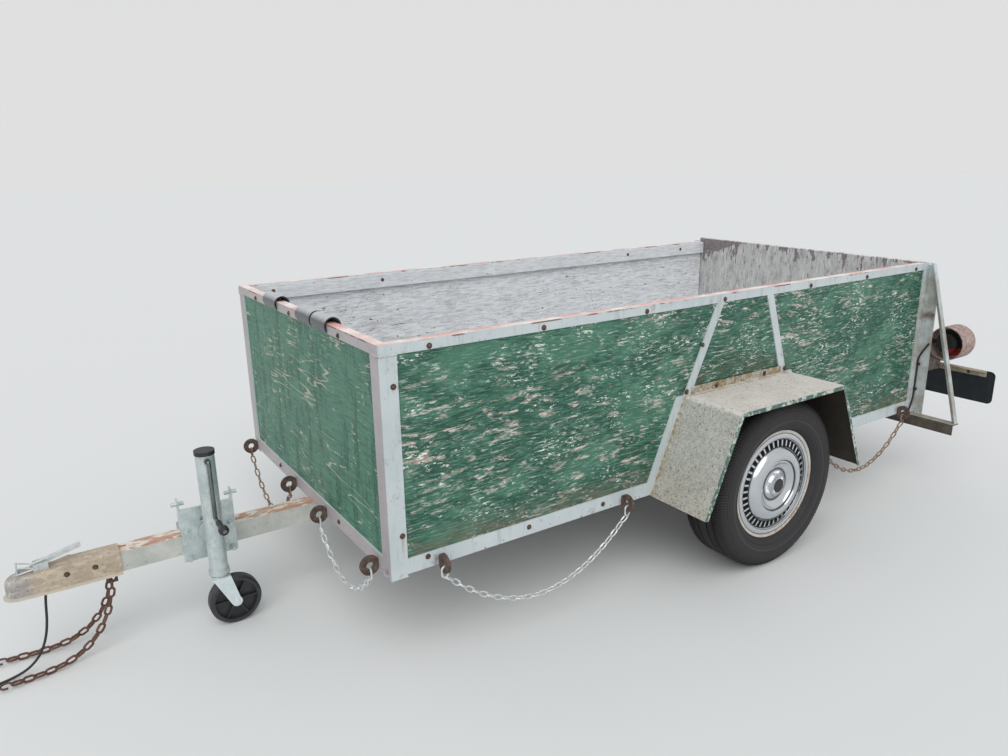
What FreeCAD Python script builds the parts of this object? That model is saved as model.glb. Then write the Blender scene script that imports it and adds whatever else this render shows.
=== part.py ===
"""Utility trailer: a plywood box in an angle-iron frame on one sprung axle, parked on its swing-up jack.

Millimetres. +X points to the tail, +Y to the trailer's right side and +Z up. The origin is on the
ground, under the middle of the whole length and width.
"""

import FreeCAD, Part
import math
import os

V = FreeCAD.Vector

# Whole vehicle
bed_length = 2438.0
bed_width = 1219.0
bed_height = 635.0
ground_clearance = 277.0
nose_reach = 860.0
chain_reach = 935.0
tail_reach = 145.0

# Angle-iron frame
post_leg = 50.0
rail_leg = 38.0
rail_wall = 4.8
bottom_rail_height = 44.0
rail_lift = 8.0
crossmember_count = 5
outrigger_reach = 200.0
outrigger_leg = 44.0

# Plywood box
panel_thick = 15.0
board_thick = 18.0
board_height = 52.0
floor_thick = 18.0
gate_thick = 18.0
gate_clearance = 5.0
gate_rise = 22.0
seat_gap = 0.3

# Running gear
axle_setback = 1310.0
tyre_radius = 287.6
tyre_width = 175.0
tyre_inset = 32.0
rim_radius = 167.0
rim_width = 100.0
axle_drop = 100.0
axle_radius = 30.0
spindle_radius = 16.0
running_clearance = 0.05
spring_length = 620.0
spring_width = 44.0
spring_inset = 1.0
leaf_thick = 7.0

# Fenders
fender_reach = 237.0
fender_top_length = 510.0
fender_foot_length = 780.0
fender_foot_height = 282.0
fender_sheet = 2.5
fender_gap = 19.3

# Tongue and coupler
tongue_side = 60.0
tongue_wall = 4.0
tongue_end = 1150.0
ball_radius = 25.4
ball_play = 0.2
coupler_wall = 4.5
coupler_length = 290.0
coupler_lap = 130.0
coupler_lap_down = 4.0

# Jack
jack_setback = 324.0
jack_offset = 95.0
jack_pivot_height = 290.0
jack_tube_radius = 26.5
jack_tube_wall = 3.0
jack_below = 118.0
jack_above = 258.0
leg_slip = 0.4
leg_length = 320.0
caster_radius = 76.0
caster_width = 38.0
caster_trail = 35.0

# Chains
link_pitch = 50.0
link_wire = 5.0
link_width = 18.0
link_play = 0.7
link_bevel = 5.0

# Places worked out from the sizes above
total_length = chain_reach + bed_length + tail_reach
bed_front = chain_reach - total_length / 2
bed_rear = bed_front + bed_length
half = bed_width / 2
top = ground_clearance + bed_height
rail_base = ground_clearance + rail_lift
shelf = rail_base + rail_wall
panel_outside = half - rail_wall
panel_inside = panel_outside - panel_thick
board_inside = panel_inside - board_thick
floor_base = shelf + rail_leg
floor_top = floor_base + floor_thick
slot_front = bed_rear - rail_wall - gate_thick - 2 * gate_clearance
axle_x = bed_front + axle_setback
wheel_y = half + tyre_inset + tyre_width / 2
jack_x = bed_front - jack_setback
leg_radius = jack_tube_radius - jack_tube_wall - leg_slip
caster_axle_height = caster_radius
fender_top_height = 2 * tyre_radius + fender_gap + fender_sheet


def box(x, y, z):
    """Block between two places on each axis."""
    low = V(min(x), min(y), min(z))
    return Part.makeBox(max(x) - low.x, max(y) - low.y, max(z) - low.z, low)


def rod(radius, start, end):
    """Round bar between two points."""
    start, end = V(*start), V(*end)
    return Part.makeCylinder(radius, (end - start).Length, start, end - start)


def tube(radius, bore, start, end):
    return rod(radius, start, end).cut(rod(bore, start, end))


def prism(outline, sweep):
    """Straight-sided outline swept along a vector."""
    points = [V(*p) for p in outline]
    return Part.Face(Part.makePolygon(points + points[:1])).extrude(V(*sweep))


def turned(profile, centre, outward):
    """Profile of (radius, distance outward) pairs turned about an axle along Y."""
    points = [V(centre[0] + r, centre[1] + outward * s, centre[2]) for r, s in profile]
    face = Part.Face(Part.makePolygon(points + points[:1]))
    return face.revolve(V(*centre), V(0, 1, 0), 360)


def place(axis, along, across):
    """Point from a distance along one axis and the two others in X, Y, Z order."""
    coords = list(across)
    coords.insert("xyz".index(axis), along)
    return tuple(coords)


def angle_bar(axis, span, corner, legs, wall=rail_wall):
    """Angle iron along an axis, from the outer corner of its two legs; a leg's sign is its way."""
    (u, v), (leg_u, leg_v) = corner, legs
    wall_u, wall_v = math.copysign(wall, leg_u), math.copysign(wall, leg_v)
    section = [
        (u, v),
        (u + leg_u, v),
        (u + leg_u, v + wall_v),
        (u + wall_u, v + wall_v),
        (u + wall_u, v + leg_v),
        (u, v + leg_v),
    ]
    outline = [place(axis, span[0], p) for p in section]
    return prism(outline, place(axis, span[1] - span[0], (0, 0)))


def mirrored(shape):
    """The same piece on the trailer's other side."""
    return shape.mirror(V(0, 0, 0), V(0, 1, 0))


def both_sides(shape):
    return [shape, mirrored(shape)]


def fused(shapes):
    return shapes[0].multiFuse(shapes[1:]).removeSplitter() if len(shapes) > 1 else shapes[0]


# Frame of angle iron


def bottom_side_rail():
    span = (bed_front + post_leg, bed_rear - post_leg)
    return angle_bar("x", span, (-half, rail_base), (rail_leg, bottom_rail_height))


def front_bottom_rail():
    span = (post_leg - half, half - post_leg)
    return angle_bar("y", span, (bed_front, rail_base), (rail_leg, bottom_rail_height))


def top_side_rail():
    """Flange over the plywood to the tailgate's slot, and a skirt between the posts."""
    flange = box((bed_front, slot_front), (-half, rail_leg - half), (top - rail_wall, top))
    skirt_x = (bed_front + post_leg, bed_rear - post_leg)
    skirt = box(skirt_x, (-half, rail_wall - half), (top - rail_leg, top - rail_wall))
    return fused([flange, skirt]).cut(rear_post())


def front_top_rail():
    flange_y = (rail_leg - half, half - rail_leg)
    flange = box((bed_front, bed_front + rail_leg), flange_y, (top - rail_wall, top))
    skirt_y = (post_leg - half, half - post_leg)
    skirt = box((bed_front, bed_front + rail_wall), skirt_y, (top - rail_leg, top - rail_wall))
    return fused([flange, skirt])


def front_post():
    span = (ground_clearance, top - rail_wall)
    return angle_bar("z", span, (bed_front, -half), (post_leg, post_leg))


def rear_post():
    return angle_bar("z", (ground_clearance, top), (bed_rear, -half), (-post_leg, post_leg))


def crossmembers():
    """Angles under the floor, their tops level and their feet on the side rails' shelves."""
    first = bed_front + 2 * post_leg
    last = slot_front - 2 * post_leg
    pitch = (last - first) / (crossmember_count - 1)
    span = (-panel_inside, panel_inside)
    bars = []
    for n in range(crossmember_count):
        corner = (first + n * pitch, floor_base)
        bars.append(angle_bar("y", span, corner, (rail_leg, -rail_leg)))
    return bars


def rear_crossmember():
    """Angle under the rear posts, long enough to stand out past both sides."""
    reach = half + outrigger_reach
    corner = (bed_rear - outrigger_leg, ground_clearance)
    return angle_bar("y", (-reach, reach), corner, (outrigger_leg, -outrigger_leg))


lamp_post_leg = 25.0
brace_leg = 22.0
brace_wall = 3.0


def lamp_post():
    """Angle on the outside of the rear post, with its wide flange standing out at the rear."""
    span = (ground_clearance, top - 2 * rail_wall)
    return angle_bar("z", span, (bed_rear, -half), (-lamp_post_leg, -post_leg))


def lamp_brace():
    """Slanting angle from the rear post's top to the outrigger's end, cut level at both ends."""
    back = bed_rear - rail_wall
    foot, head = -half - outrigger_reach, -half - lamp_post_leg - rail_wall
    section = [
        (back, foot),
        (back - brace_leg, foot),
        (back - brace_leg, foot + brace_wall),
        (back - brace_wall, foot + brace_wall),
        (back - brace_wall, foot + brace_leg),
        (back, foot + brace_leg),
    ]
    outline = [(x, y, ground_clearance) for x, y in section]
    return prism(outline, (0, head - foot, top - ground_clearance))


# Plywood box


def side_panel():
    x = (bed_front + rail_wall, slot_front)
    return box(x, (-panel_outside, -panel_inside), (shelf, top - rail_wall))


def front_panel():
    x = (bed_front + rail_wall, bed_front + rail_wall + panel_thick)
    return box(x, (-panel_inside, panel_inside), (shelf, top - rail_wall))


def side_board():
    x = (bed_front + rail_wall + panel_thick, slot_front)
    z = (top - rail_wall - board_height, top - rail_wall)
    return box(x, (-panel_inside, -board_inside), z)


def front_board():
    start = bed_front + rail_wall + panel_thick
    z = (top - rail_wall - board_height, top - rail_wall)
    return box((start, start + board_thick), (-board_inside, board_inside), z)


def floor_panel():
    x = (bed_front + rail_wall + panel_thick, slot_front)
    return box(x, (-panel_inside, panel_inside), (floor_base, floor_top))


def tailgate():
    """Board that drops into the slots between the side panels' ends and the rear posts."""
    back = bed_rear - rail_wall - gate_clearance
    reach = panel_outside - gate_clearance
    z = (ground_clearance + seat_gap, top + gate_rise)
    return box((back - gate_thick, back), (-reach, reach), z)


# Fenders

lip_depth = 12.0
brace_bar = 32.0
strip_height = 24.0
strip_width = 20.0

# Fender braces: which end of the fender, and how far its head is from the fender's corner.
brace_heads = ((-1, 128.0), (1, 96.0))


def fender_outline(inset):
    """The fender's side view: sloped ends and a flat top, from outside or inside the sheet."""
    top_half = fender_top_length / 2
    foot_half = fender_foot_length / 2
    rise = fender_top_height - fender_foot_height
    slope = math.atan2(rise, foot_half - top_half)
    side = inset / math.sin(slope)
    shoulder = inset * math.tan(slope / 2)
    return [
        (axle_x - foot_half + side, fender_foot_height),
        (axle_x - top_half + shoulder, fender_top_height - inset),
        (axle_x + top_half - shoulder, fender_top_height - inset),
        (axle_x + foot_half - side, fender_foot_height),
    ]


def fender():
    """Bent sheet with a lip turned down round its outer edge and an angle strip along the panel."""
    outer = fender_outline(0)
    inner = fender_outline(fender_sheet)
    outline = [(x, -half, z) for x, z in outer + inner[::-1]]
    sheet = prism(outline, (0, -fender_reach, 0))
    lip_inner = fender_outline(lip_depth)
    lip_outline = [(x, -half - fender_reach, z) for x, z in outer + lip_inner[::-1]]
    lip = prism(lip_outline, (0, fender_sheet, 0))
    span = (axle_x - fender_top_length / 2 + brace_bar, axle_x + fender_top_length / 2 - brace_bar)
    strip = angle_bar("x", span, (-half, fender_top_height), (-strip_width, strip_height), brace_wall)
    return fused([sheet, lip, strip])


def fender_braces():
    """Flat bars from the top rail to the fender's corners and on down beside its slopes."""
    bars = []
    foot_x = fender_foot_length / 2
    corner_x = fender_top_length / 2
    rail_top = rail_base + bottom_rail_height
    slope = (foot_x - corner_x) / (fender_top_height - fender_foot_height)
    low_x = foot_x - slope * (rail_top - fender_foot_height)
    for side, spread in brace_heads:
        upper = [
            (corner_x - spread, top - rail_leg),
            (corner_x - spread - brace_bar, top - rail_leg),
            (corner_x - brace_bar, fender_top_height),
            (corner_x, fender_top_height),
        ]
        lower = [
            (corner_x, fender_top_height),
            (corner_x + brace_bar, fender_top_height),
            (low_x + brace_bar, rail_top),
            (low_x, rail_top),
        ]
        for outline in (upper, lower):
            points = [(axle_x + side * x, -half, z) for x, z in outline]
            bars.append(prism(points, (0, rail_wall, 0)))
    return bars


# Lamps and plate

lamp_height = 586.0
guard_radius = 69.0
guard_wall = 3.0
guard_start = 25.0
guard_mouth = 52.0
guard_turn_in = 0.7
lens_radius = 56.0
lens_rim = 17.0
lens_dome = 17.0
lens_flat_radius = 39.0
housing_radius = 40.0
housing_depth = 38.0
arm_thick = 5.0
arm_start = 20.0
stud_radius = 8.0
plate_width = 300.0
plate_height = 135.0
plate_bottom = 342.0
plate_corner = 20.0
plate_thick = 3.0
plate_overlap = 51.0
hanger_leg = 25.0
hanger_reach = 210.0


def lamp_middle():
    """Place along the trailer where the lamp's housing meets its lens."""
    return bed_rear + guard_start + housing_depth


def lamp_arm():
    """Plate welded behind the lamp post; the lamp, its guard and the plate hang on it."""
    y = -half - arm_start
    tail = bed_rear + tail_reach - plate_thick
    outline = [
        (bed_rear, y, plate_bottom + plate_height - hanger_leg),
        (tail, y, plate_bottom + plate_height - hanger_leg),
        (tail, y, plate_bottom + plate_height + hanger_leg),
        (lamp_middle(), y, lamp_height + hanger_leg),
        (bed_rear, y, lamp_height + hanger_leg),
    ]
    return prism(outline, (0, -arm_thick, 0))


def lamp_centre_y():
    return -half - arm_start - arm_thick - guard_radius


def lamp_guard():
    """Steel can round the lamp, open ahead, its rear end turned in like a bell round a mouth."""
    y = lamp_centre_y()
    start, end = guard_start, tail_reach - 2 * plate_thick
    shoulder = guard_radius - guard_mouth
    bend = guard_turn_in * shoulder
    outer = [
        (guard_radius, start),
        (guard_radius, end - shoulder),
        (guard_mouth + bend, end - shoulder + bend),
        (guard_mouth, end),
    ]
    inner = [(r - guard_wall, s) for r, s in reversed(outer)]
    points = [V(bed_rear + s, y, lamp_height + r) for r, s in outer + inner]
    face = Part.Face(Part.makePolygon(points + points[:1]))
    bell = face.revolve(V(bed_rear, y, lamp_height), V(1, 0, 0), 360)
    stud_x = lamp_middle() - housing_depth / 2
    return bell.cut(rod(stud_radius + seat_gap, (stud_x, y, lamp_height), (stud_x, -half, lamp_height)))


def tail_lamp():
    """Round housing on a stud from the arm, with a wider domed lens to the rear."""
    y = lamp_centre_y()
    middle = lamp_middle()
    housing = rod(housing_radius, (middle - housing_depth, y, lamp_height), (middle, y, lamp_height))
    rim_end = middle + lens_rim
    lens = rod(lens_radius, (middle, y, lamp_height), (rim_end, y, lamp_height))
    dome = Part.makeCone(lens_radius, lens_flat_radius, lens_dome, V(rim_end, y, lamp_height), V(1, 0, 0))
    stud_x = middle - housing_depth / 2
    stud = rod(stud_radius, (stud_x, y, lamp_height), (stud_x, -half - arm_start - arm_thick, lamp_height))
    return fused([housing, lens, dome, stud])


lamp_cable_radius = 3.5
lamp_cable_start = 30.0
clip_foot = 6.0
clip_high = 8.0
clip_thick = 1.5
clip_rises = (101.0, 209.0)

# Lamp cable up the post: forward of the post's flange, out from its side, and above the frame's foot.
lamp_cable_run = ((13, 0, 42), (3.8, 0, 80), (3.8, 0, 235), (3.8, 10, 262), (3.8, 36, 305))


def lamp_cables():
    """Cable from the crossmember up the inside of the post's flange to the lamp, and its two clips."""
    face_x = bed_rear - rail_wall
    near_y = -half - rail_wall - lamp_cable_radius - seat_gap
    points = [V(face_x - lamp_cable_start, near_y, ground_clearance + lamp_cable_radius + seat_gap)]
    for ahead, out, rise in lamp_cable_run:
        points.append(V(face_x - ahead, near_y - out, ground_clearance + rise))
    solids = [round_corners(points, lamp_cable_radius)[0]]
    strap_x = face_x - 2 * (lamp_cable_radius + seat_gap) - clip_thick
    foot_y = near_y - lamp_cable_radius - seat_gap
    for rise in clip_rises:
        z = (ground_clearance + rise, ground_clearance + rise + clip_high)
        strap = box((strap_x, strap_x + clip_thick), (near_y + lamp_cable_radius, foot_y), z)
        foot = box((strap_x, face_x - seat_gap), (foot_y, foot_y - clip_foot), z)
        solids.append(fused([strap, foot]))
    return solids


def plate_hanger():
    """Light angle out from the arm, which the number plate is bolted to."""
    start = -half - arm_start - arm_thick
    corner = (bed_rear + tail_reach - plate_thick, plate_bottom + plate_height)
    span = (start, start - hanger_reach + arm_start)
    return angle_bar("y", span, corner, (-hanger_leg, -hanger_leg), brace_wall)


def number_plate():
    """Blank plate with round corners."""
    y_in = plate_overlap - half
    y_out = y_in - plate_width
    x = (bed_rear + tail_reach - plate_thick, bed_rear + tail_reach)
    blank = box(x, (y_in, y_out), (plate_bottom, plate_bottom + plate_height))
    corners = [e for e in blank.Edges if abs(e.tangentAt(0).x) > 0.9]
    return blank.makeFillet(plate_corner, corners)


# Axle and springs

spindle_length = 110.0
arm_width = 60.0
arm_gap = 3.0
knuckle_thick = 22.0


def wheel_height():
    return tyre_radius


def beam_height():
    return wheel_height() - axle_drop


def axle_beam():
    """Round dropped axle: a low tube, an upright knuckle at each end and the spindles."""
    knuckle_out = half + tyre_inset + arm_gap
    z = beam_height()
    pieces = [rod(axle_radius, (axle_x, -knuckle_out, z), (axle_x, knuckle_out, z))]
    for side in (-1, 1):
        y = (side * (knuckle_out - knuckle_thick), side * knuckle_out)
        x = (axle_x - arm_width / 2, axle_x + arm_width / 2)
        pieces.append(box(x, y, (z, wheel_height())))
        for height in (z, wheel_height()):
            pieces.append(rod(arm_width / 2, (axle_x, y[0], height), (axle_x, y[1], height)))
        end = side * (knuckle_out + spindle_length)
        pieces.append(
            rod(spindle_radius, (axle_x, side * knuckle_out, wheel_height()), (axle_x, end, wheel_height()))
        )
    return fused(pieces)


spring_seat = 5.0
spring_camber = 20.0
eye_radius = 13.0
leaf_shares = (1.0, 0.76, 0.54, 0.32)


def spring_base():
    return beam_height() + axle_radius + spring_seat


def eye_height():
    return spring_base() + len(leaf_shares) * leaf_thick + spring_camber - leaf_thick


def leaf_spring():
    """Stack of arched leaves, longest on top, with an eye rolled at each end."""
    half_length = spring_length / 2
    radius = (half_length ** 2 + spring_camber ** 2) / (2 * spring_camber)
    centre_z = spring_base() + len(leaf_shares) * leaf_thick + radius
    y_near, y_far = spring_inset - half, spring_inset + spring_width - half
    leaves = []
    for n, share in enumerate(leaf_shares):
        swing = math.asin(half_length * share / radius)
        arcs = []
        for r in (radius + n * leaf_thick, radius + (n + 1) * leaf_thick):
            places = [(axle_x + r * math.sin(a), centre_z - r * math.cos(a)) for a in (-swing, 0, swing)]
            points = [V(x, y_near, z) for x, z in places]
            arcs.append(Part.Arc(*points).toShape())
        ends = []
        for k in (0, 1):
            ends.append(Part.makeLine(arcs[0].Vertexes[k].Point, arcs[1].Vertexes[k].Point))
        wire = Part.Wire([arcs[0], ends[1], arcs[1], ends[0]])
        leaves.append(Part.Face(wire).extrude(V(0, y_far - y_near, 0)))
    for x in (axle_x - half_length, axle_x + half_length):
        leaves.append(rod(eye_radius, (x, y_near, eye_height()), (x, y_far, eye_height())))
    return fused(leaves)


hanger_plate = 5.0
hanger_ear = 40.0


def spring_hangers():
    """Pairs of ears under the side rail, one each side of each spring eye."""
    ears = []
    for x in (axle_x - spring_length / 2, axle_x + spring_length / 2):
        for y in (spring_inset - half - hanger_plate, spring_inset + spring_width - half):
            z = (eye_height() - eye_radius, rail_base)
            ears.append(box((x - hanger_ear / 2, x + hanger_ear / 2), (y, y + hanger_plate), z))
    return ears


clamp_rod = 5.0
clamp_gap = 0.5
tie_plate = 8.0


def axle_clamps():
    """Seat block under each spring, tie plate over it and two U-bolts round the axle."""
    z_axle = beam_height()
    y_near, y_far = spring_inset - half, spring_inset + spring_width - half
    seat_x = (axle_x - axle_radius, axle_x + axle_radius)
    seat = box(seat_x, (y_near, y_far), (z_axle + axle_radius / 2, spring_base()))
    seat = seat.cut(rod(axle_radius, (axle_x, y_near, z_axle), (axle_x, y_far, z_axle)))
    stack_top = spring_base() + len(leaf_shares) * leaf_thick + clamp_gap
    bolt_reach = axle_radius + clamp_rod + clamp_gap
    rows = (y_near - clamp_rod - clamp_gap, y_far + clamp_rod + clamp_gap)
    plate_x = (axle_x - bolt_reach - 2 * clamp_rod, axle_x + bolt_reach + 2 * clamp_rod)
    plate_y = (rows[0] - clamp_rod, rows[1] + 2 * clamp_rod)
    pieces = [box(plate_x, plate_y, (stack_top, stack_top + tie_plate))]
    for y in rows:
        for side in (-1, 1):
            x = axle_x + side * bolt_reach
            pieces.append(rod(clamp_rod, (x, y, z_axle), (x, y, stack_top + tie_plate + 2 * clamp_rod)))
        bend_out, bend_in = bolt_reach + clamp_rod, bolt_reach - clamp_rod
        bend = tube(bend_out, bend_in, (axle_x, y - clamp_rod, z_axle), (axle_x, y + clamp_rod, z_axle))
        lower = box((axle_x - 2 * bend_out, axle_x + 2 * bend_out), (y - bend_out, y + bend_out), (0, z_axle))
        pieces.append(bend.common(lower))
    return [fused(pieces), seat]


# Wheels

shoulder_radius = 272.0
shoulder_inset = 8.0
tread_width = 128.0
widest_radius = 232.0
lip_radius = 184.0
rim_wall = 6.0
lip_sheet = 3.0
fit_gap = 0.3
disc_bore = 34.0
disc_sheet = 6.0
disc_seat = 8.0
disc_dish = 20.0
disc_bend_start = 90.0
disc_bend_end = 115.0
disc_lean = 3.0


def tyre(side):
    """Tubeless tyre: flat tread, sloped shoulders and straight sidewalls down to the beads."""
    bead = rim_width / 2
    wide = tyre_width / 2
    half_profile = [
        (rim_radius, bead),
        (widest_radius, wide),
        (shoulder_radius, wide - shoulder_inset),
        (tyre_radius, tread_width / 2),
    ]
    profile = half_profile + [(r, -s) for r, s in reversed(half_profile)]
    return turned(profile, (axle_x, side * wheel_y, wheel_height()), side)


def bead_slope():
    return (tyre_width - rim_width) / 2 / (widest_radius - rim_radius)


def lip_seat(radius):
    """How far outward the rim's lip meets the tyre's bead at a radius."""
    gap = fit_gap / math.cos(math.atan(bead_slope()))
    return rim_width / 2 + gap + bead_slope() * (radius - rim_radius)


def rim(side):
    """Barrel with flared lips that follow the beads, and a pressed centre disc."""
    seat = rim_radius - fit_gap
    inner = seat - rim_wall
    outer = [
        (seat, lip_seat(seat)),
        (lip_radius, lip_seat(lip_radius)),
        (lip_radius, lip_seat(lip_radius) + lip_sheet),
        (inner, lip_seat(inner) + lip_sheet),
    ]
    profile = outer + [(r, -s) for r, s in reversed(outer)]
    barrel = turned(profile, (axle_x, side * wheel_y, wheel_height()), side)
    low, high = disc_seat, disc_seat + disc_dish
    disc_profile = [
        (disc_bore, low),
        (disc_bend_start, low),
        (disc_bend_end, high),
        (inner, high),
        (inner, high + disc_sheet),
        (disc_bend_end - disc_lean, high + disc_sheet),
        (disc_bend_start - disc_lean, low + disc_sheet),
        (disc_bore, low + disc_sheet),
    ]
    disc = turned(disc_profile, (axle_x, side * wheel_y, wheel_height()), side)
    return fused([barrel, disc])


cover_sheet = 3.0
cover_margin = 15.0
slot_count = 40
slot_width = 6.0
slot_inner = 130.0
slot_outer = 144.0
slot_margin = 2.0
bead_width = 5.0
bead_rise = 5.0
groove_rise = 2.0
ring_rise = 6.0

# Wheel cover inside its slotted ring: radius, and rise above its edge.
cover_face = (
    (126, 12),
    (110, 21),
    (96, 24),
    (88, 22),
    (84, 16),
    (62, 6),
    (44, 6),
    (34, 18),
    (24, 22),
    (0, 22),
)


def wheel_cover(side):
    """Pressed full cover: rim band, ring of slots, domed band, sunk dish and a raised middle."""
    radius = lip_radius - cover_margin
    edge = lip_seat(radius) + lip_sheet + fit_gap
    crease = slot_outer + slot_margin
    band = [(radius, cover_sheet), (crease + bead_width, bead_rise), (crease, groove_rise)]
    band.append((slot_inner - slot_margin, ring_rise))
    face = [(r, edge + rise) for r, rise in band + list(cover_face)]
    back = [(max(r - 1, 0), s - cover_sheet) for r, s in reversed(face)]
    back[-1] = (radius, edge)
    shell = turned(face + back, (axle_x, side * wheel_y, wheel_height()), side)
    y_slot = side * (wheel_y + edge)
    slots = []
    for n in range(slot_count):
        depth = 10 * cover_sheet
        corner = V(slot_inner, -depth, -slot_width / 2)
        slot = Part.makeBox(slot_outer - slot_inner, 2 * depth, slot_width, corner)
        slot.rotate(V(0, 0, 0), V(0, 1, 0), 360 * n / slot_count)
        slot.translate(V(axle_x, y_slot, wheel_height()))
        slots.append(slot)
    return shell.cut(Part.makeCompound(slots))


hub_radius = 42.0
hub_flange = 68.0
hub_flange_thick = 14.0
hub_end = 30.0
hub_gap = 5.0


def wheel_hub(side):
    """Hub on the spindle, with a flange behind the wheel disc and a pilot through its bore."""
    knuckle_face = -(wheel_y - half - tyre_inset - arm_gap)
    profile = [
        (spindle_radius + running_clearance, knuckle_face + hub_gap),
        (hub_radius, knuckle_face + hub_gap),
        (hub_radius, disc_seat - hub_flange_thick),
        (hub_flange, disc_seat - hub_flange_thick),
        (hub_flange, disc_seat),
        (disc_bore - fit_gap, disc_seat),
        (disc_bore - fit_gap, hub_end),
        (spindle_radius + running_clearance, hub_end),
    ]
    return turned(profile, (axle_x, side * wheel_y, wheel_height()), side)


# Tongue and coupler


def tongue():
    reach = tongue_side / 2
    x = (tongue_front(), bed_front + tongue_end)
    z = (rail_base - tongue_side, rail_base)
    solid = box(x, (-reach, reach), z)
    inner = reach - tongue_wall
    hollow = box(x, (-inner, inner), (z[0] + tongue_wall, z[1] - tongue_wall))
    return solid.cut(hollow)


coupler_lip = 8.0
lip_thick = 3.0
socket_drop = 30.0
dome_lap = 2.0
crest_dip = 4.0
crest_before = 10.0
crest_after = 12.0
crest_round = 9.0
throat_taper = 0.8
throat_drop = 12.0


def socket_place():
    """Centre of the ball's seat."""
    return bed_front - nose_reach + ball_radius + coupler_wall + coupler_lip, rail_base - socket_drop


def coupler():
    """Pressed ball coupler: a channel over the tongue that closes to a domed socket with a flared lip."""
    ball_x, ball_z = socket_place()
    shell = ball_radius + ball_play + coupler_wall
    bore = ball_radius + ball_play
    mouth = rail_base - tongue_side - coupler_lap_down
    reach = tongue_side / 2
    back = bed_front - nose_reach + coupler_length
    front = tongue_front()
    high = rail_base + coupler_wall
    plan = [
        (ball_x, -shell, mouth),
        (front, -reach - coupler_wall, mouth),
        (back, -reach - coupler_wall, mouth),
        (back, reach + coupler_wall, mouth),
        (front, reach + coupler_wall, mouth),
        (ball_x, shell, mouth),
    ]
    side = [
        (ball_x, -2 * reach, mouth),
        (ball_x, -2 * reach, ball_z + shell - dome_lap),
        (front - crest_before, -2 * reach, high - crest_dip),
        (front + crest_after, -2 * reach, high),
        (back, -2 * reach, high),
        (back, -2 * reach, mouth),
    ]
    body = prism(plan, (0, 0, high - mouth)).common(prism(side, (0, 4 * reach, 0)))
    upper = [e for e in body.Edges if e.BoundBox.ZMin > ball_z + shell - 4 * dome_lap]
    crest = [e for e in upper if e.Length > 2 * reach and abs(e.CenterOfMass.y) > shell - dome_lap]
    body = body.makeFillet(crest_round, crest)
    dome = Part.makeSphere(shell, V(ball_x, 0, ball_z))
    skirt = rod(shell, (ball_x, 0, mouth), (ball_x, 0, ball_z))
    lip_plan = [(x, y + math.copysign(coupler_lip, y), z) for x, y, z in plan]
    lip = prism(lip_plan, (0, 0, lip_thick))
    nose_lip = rod(shell + coupler_lip, (ball_x, 0, mouth), (ball_x, 0, mouth + lip_thick))
    shape = fused([dome, skirt, body, lip, nose_lip])
    channel = box((front, back + 1), (-reach, reach), (mouth - 1, rail_base))
    throat_outline = [
        (ball_x, -bore * throat_taper, mouth - 1),
        (front + 1, -reach, mouth - 1),
        (front + 1, reach, mouth - 1),
        (ball_x, bore * throat_taper, mouth - 1),
    ]
    throat_start = ball_x + bore + coupler_wall
    throat = prism(throat_outline, (0, 0, rail_base - throat_drop - mouth))
    throat = throat.cut(box((ball_x - shell, throat_start), (-4 * reach, 4 * reach), (0, top)))
    seat = Part.makeSphere(bore, V(ball_x, 0, ball_z))
    well = rod(bore, (ball_x, 0, mouth - 1), (ball_x, 0, ball_z))
    return shape.cut(channel).cut(throat).cut(seat).cut(well)


ear_thick = 4.0
ear_out = 14.0
latch_pin = 4.0
pin_head = 3.0
lever_width = 16.0
lever_length = 130.0
lever_height = 11.0
lever_wall = 2.0
lever_tilt = 14.0
clip_wire = 2.0

# Latch, behind the ball and above the coupler's back: corners of the ears, pins, lever's start, clip.
ear_corners = ((42, -12), (78, -6), (78, 18), (42, 14))
latch_pins = ((50, 4), (70, 8))
lever_start = (36, 1)
clip_corners = ((4, 18), (4, -2))


def coupler_latch():
    """Hinge ears with two pins on the coupler, a channel lever over them and a wire clip ahead."""
    ball_x = socket_place()[0]
    base = rail_base + coupler_wall
    ears = []
    for side in (-1, 1):
        outline = [(ball_x + x, side * ear_out, base + z) for x, z in ear_corners]
        ears.append(prism(outline, (0, side * ear_thick, 0)))
    pins = []
    pin_end = ear_out + ear_thick + pin_head
    for x, z in latch_pins:
        pins.append(rod(latch_pin, (ball_x + x, -pin_end, base + z), (ball_x + x, pin_end, base + z)))
    tilt = math.radians(lever_tilt)
    start = V(ball_x + lever_start[0], 0, base + lever_start[1])
    along = V(math.cos(tilt), 0, math.sin(tilt))
    up = V(-along.z, 0, along.x)
    half_width = V(0, lever_width / 2, 0)
    corners = [start - half_width, start + along * lever_length - half_width]
    corners += [corners[1] + up * lever_height, corners[0] + up * lever_height]
    lever = prism([tuple(c) for c in corners], (0, lever_width, 0))
    hollow_width = V(0, lever_width / 2 - lever_wall, 0)
    inner = [start - along - up - hollow_width, start + along * (lever_length + 1) - up - hollow_width]
    rise = up * (lever_height + 1 - lever_wall)
    inner += [inner[1] + rise, inner[0] + rise]
    lever = lever.cut(prism([tuple(c) for c in inner], (0, lever_width - 2 * lever_wall, 0)))
    hinge_x, hinge_z = ball_x + latch_pins[0][0], base + latch_pins[0][1]
    clip_x = ball_x + clip_corners[0][0]
    high, low = [base + z for _, z in clip_corners]
    wire_end = ear_out + ear_thick
    clip = []
    for side in (-1, 1):
        y = side * (ear_out + ear_thick / 2)
        clip.append(rod(clip_wire, (hinge_x, y, hinge_z), (clip_x, y, high)))
        clip.append(rod(clip_wire, (hinge_x, y, hinge_z), (clip_x, y, low)))
        clip.append(rod(clip_wire, (clip_x, y, high + clip_wire), (clip_x, y, low - clip_wire)))
    for z in (high, low):
        clip.append(rod(clip_wire, (clip_x, -wire_end, z), (clip_x, wire_end, z)))
    return fused(ears + pins + [lever] + clip).cut(coupler())


# Jack

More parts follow.
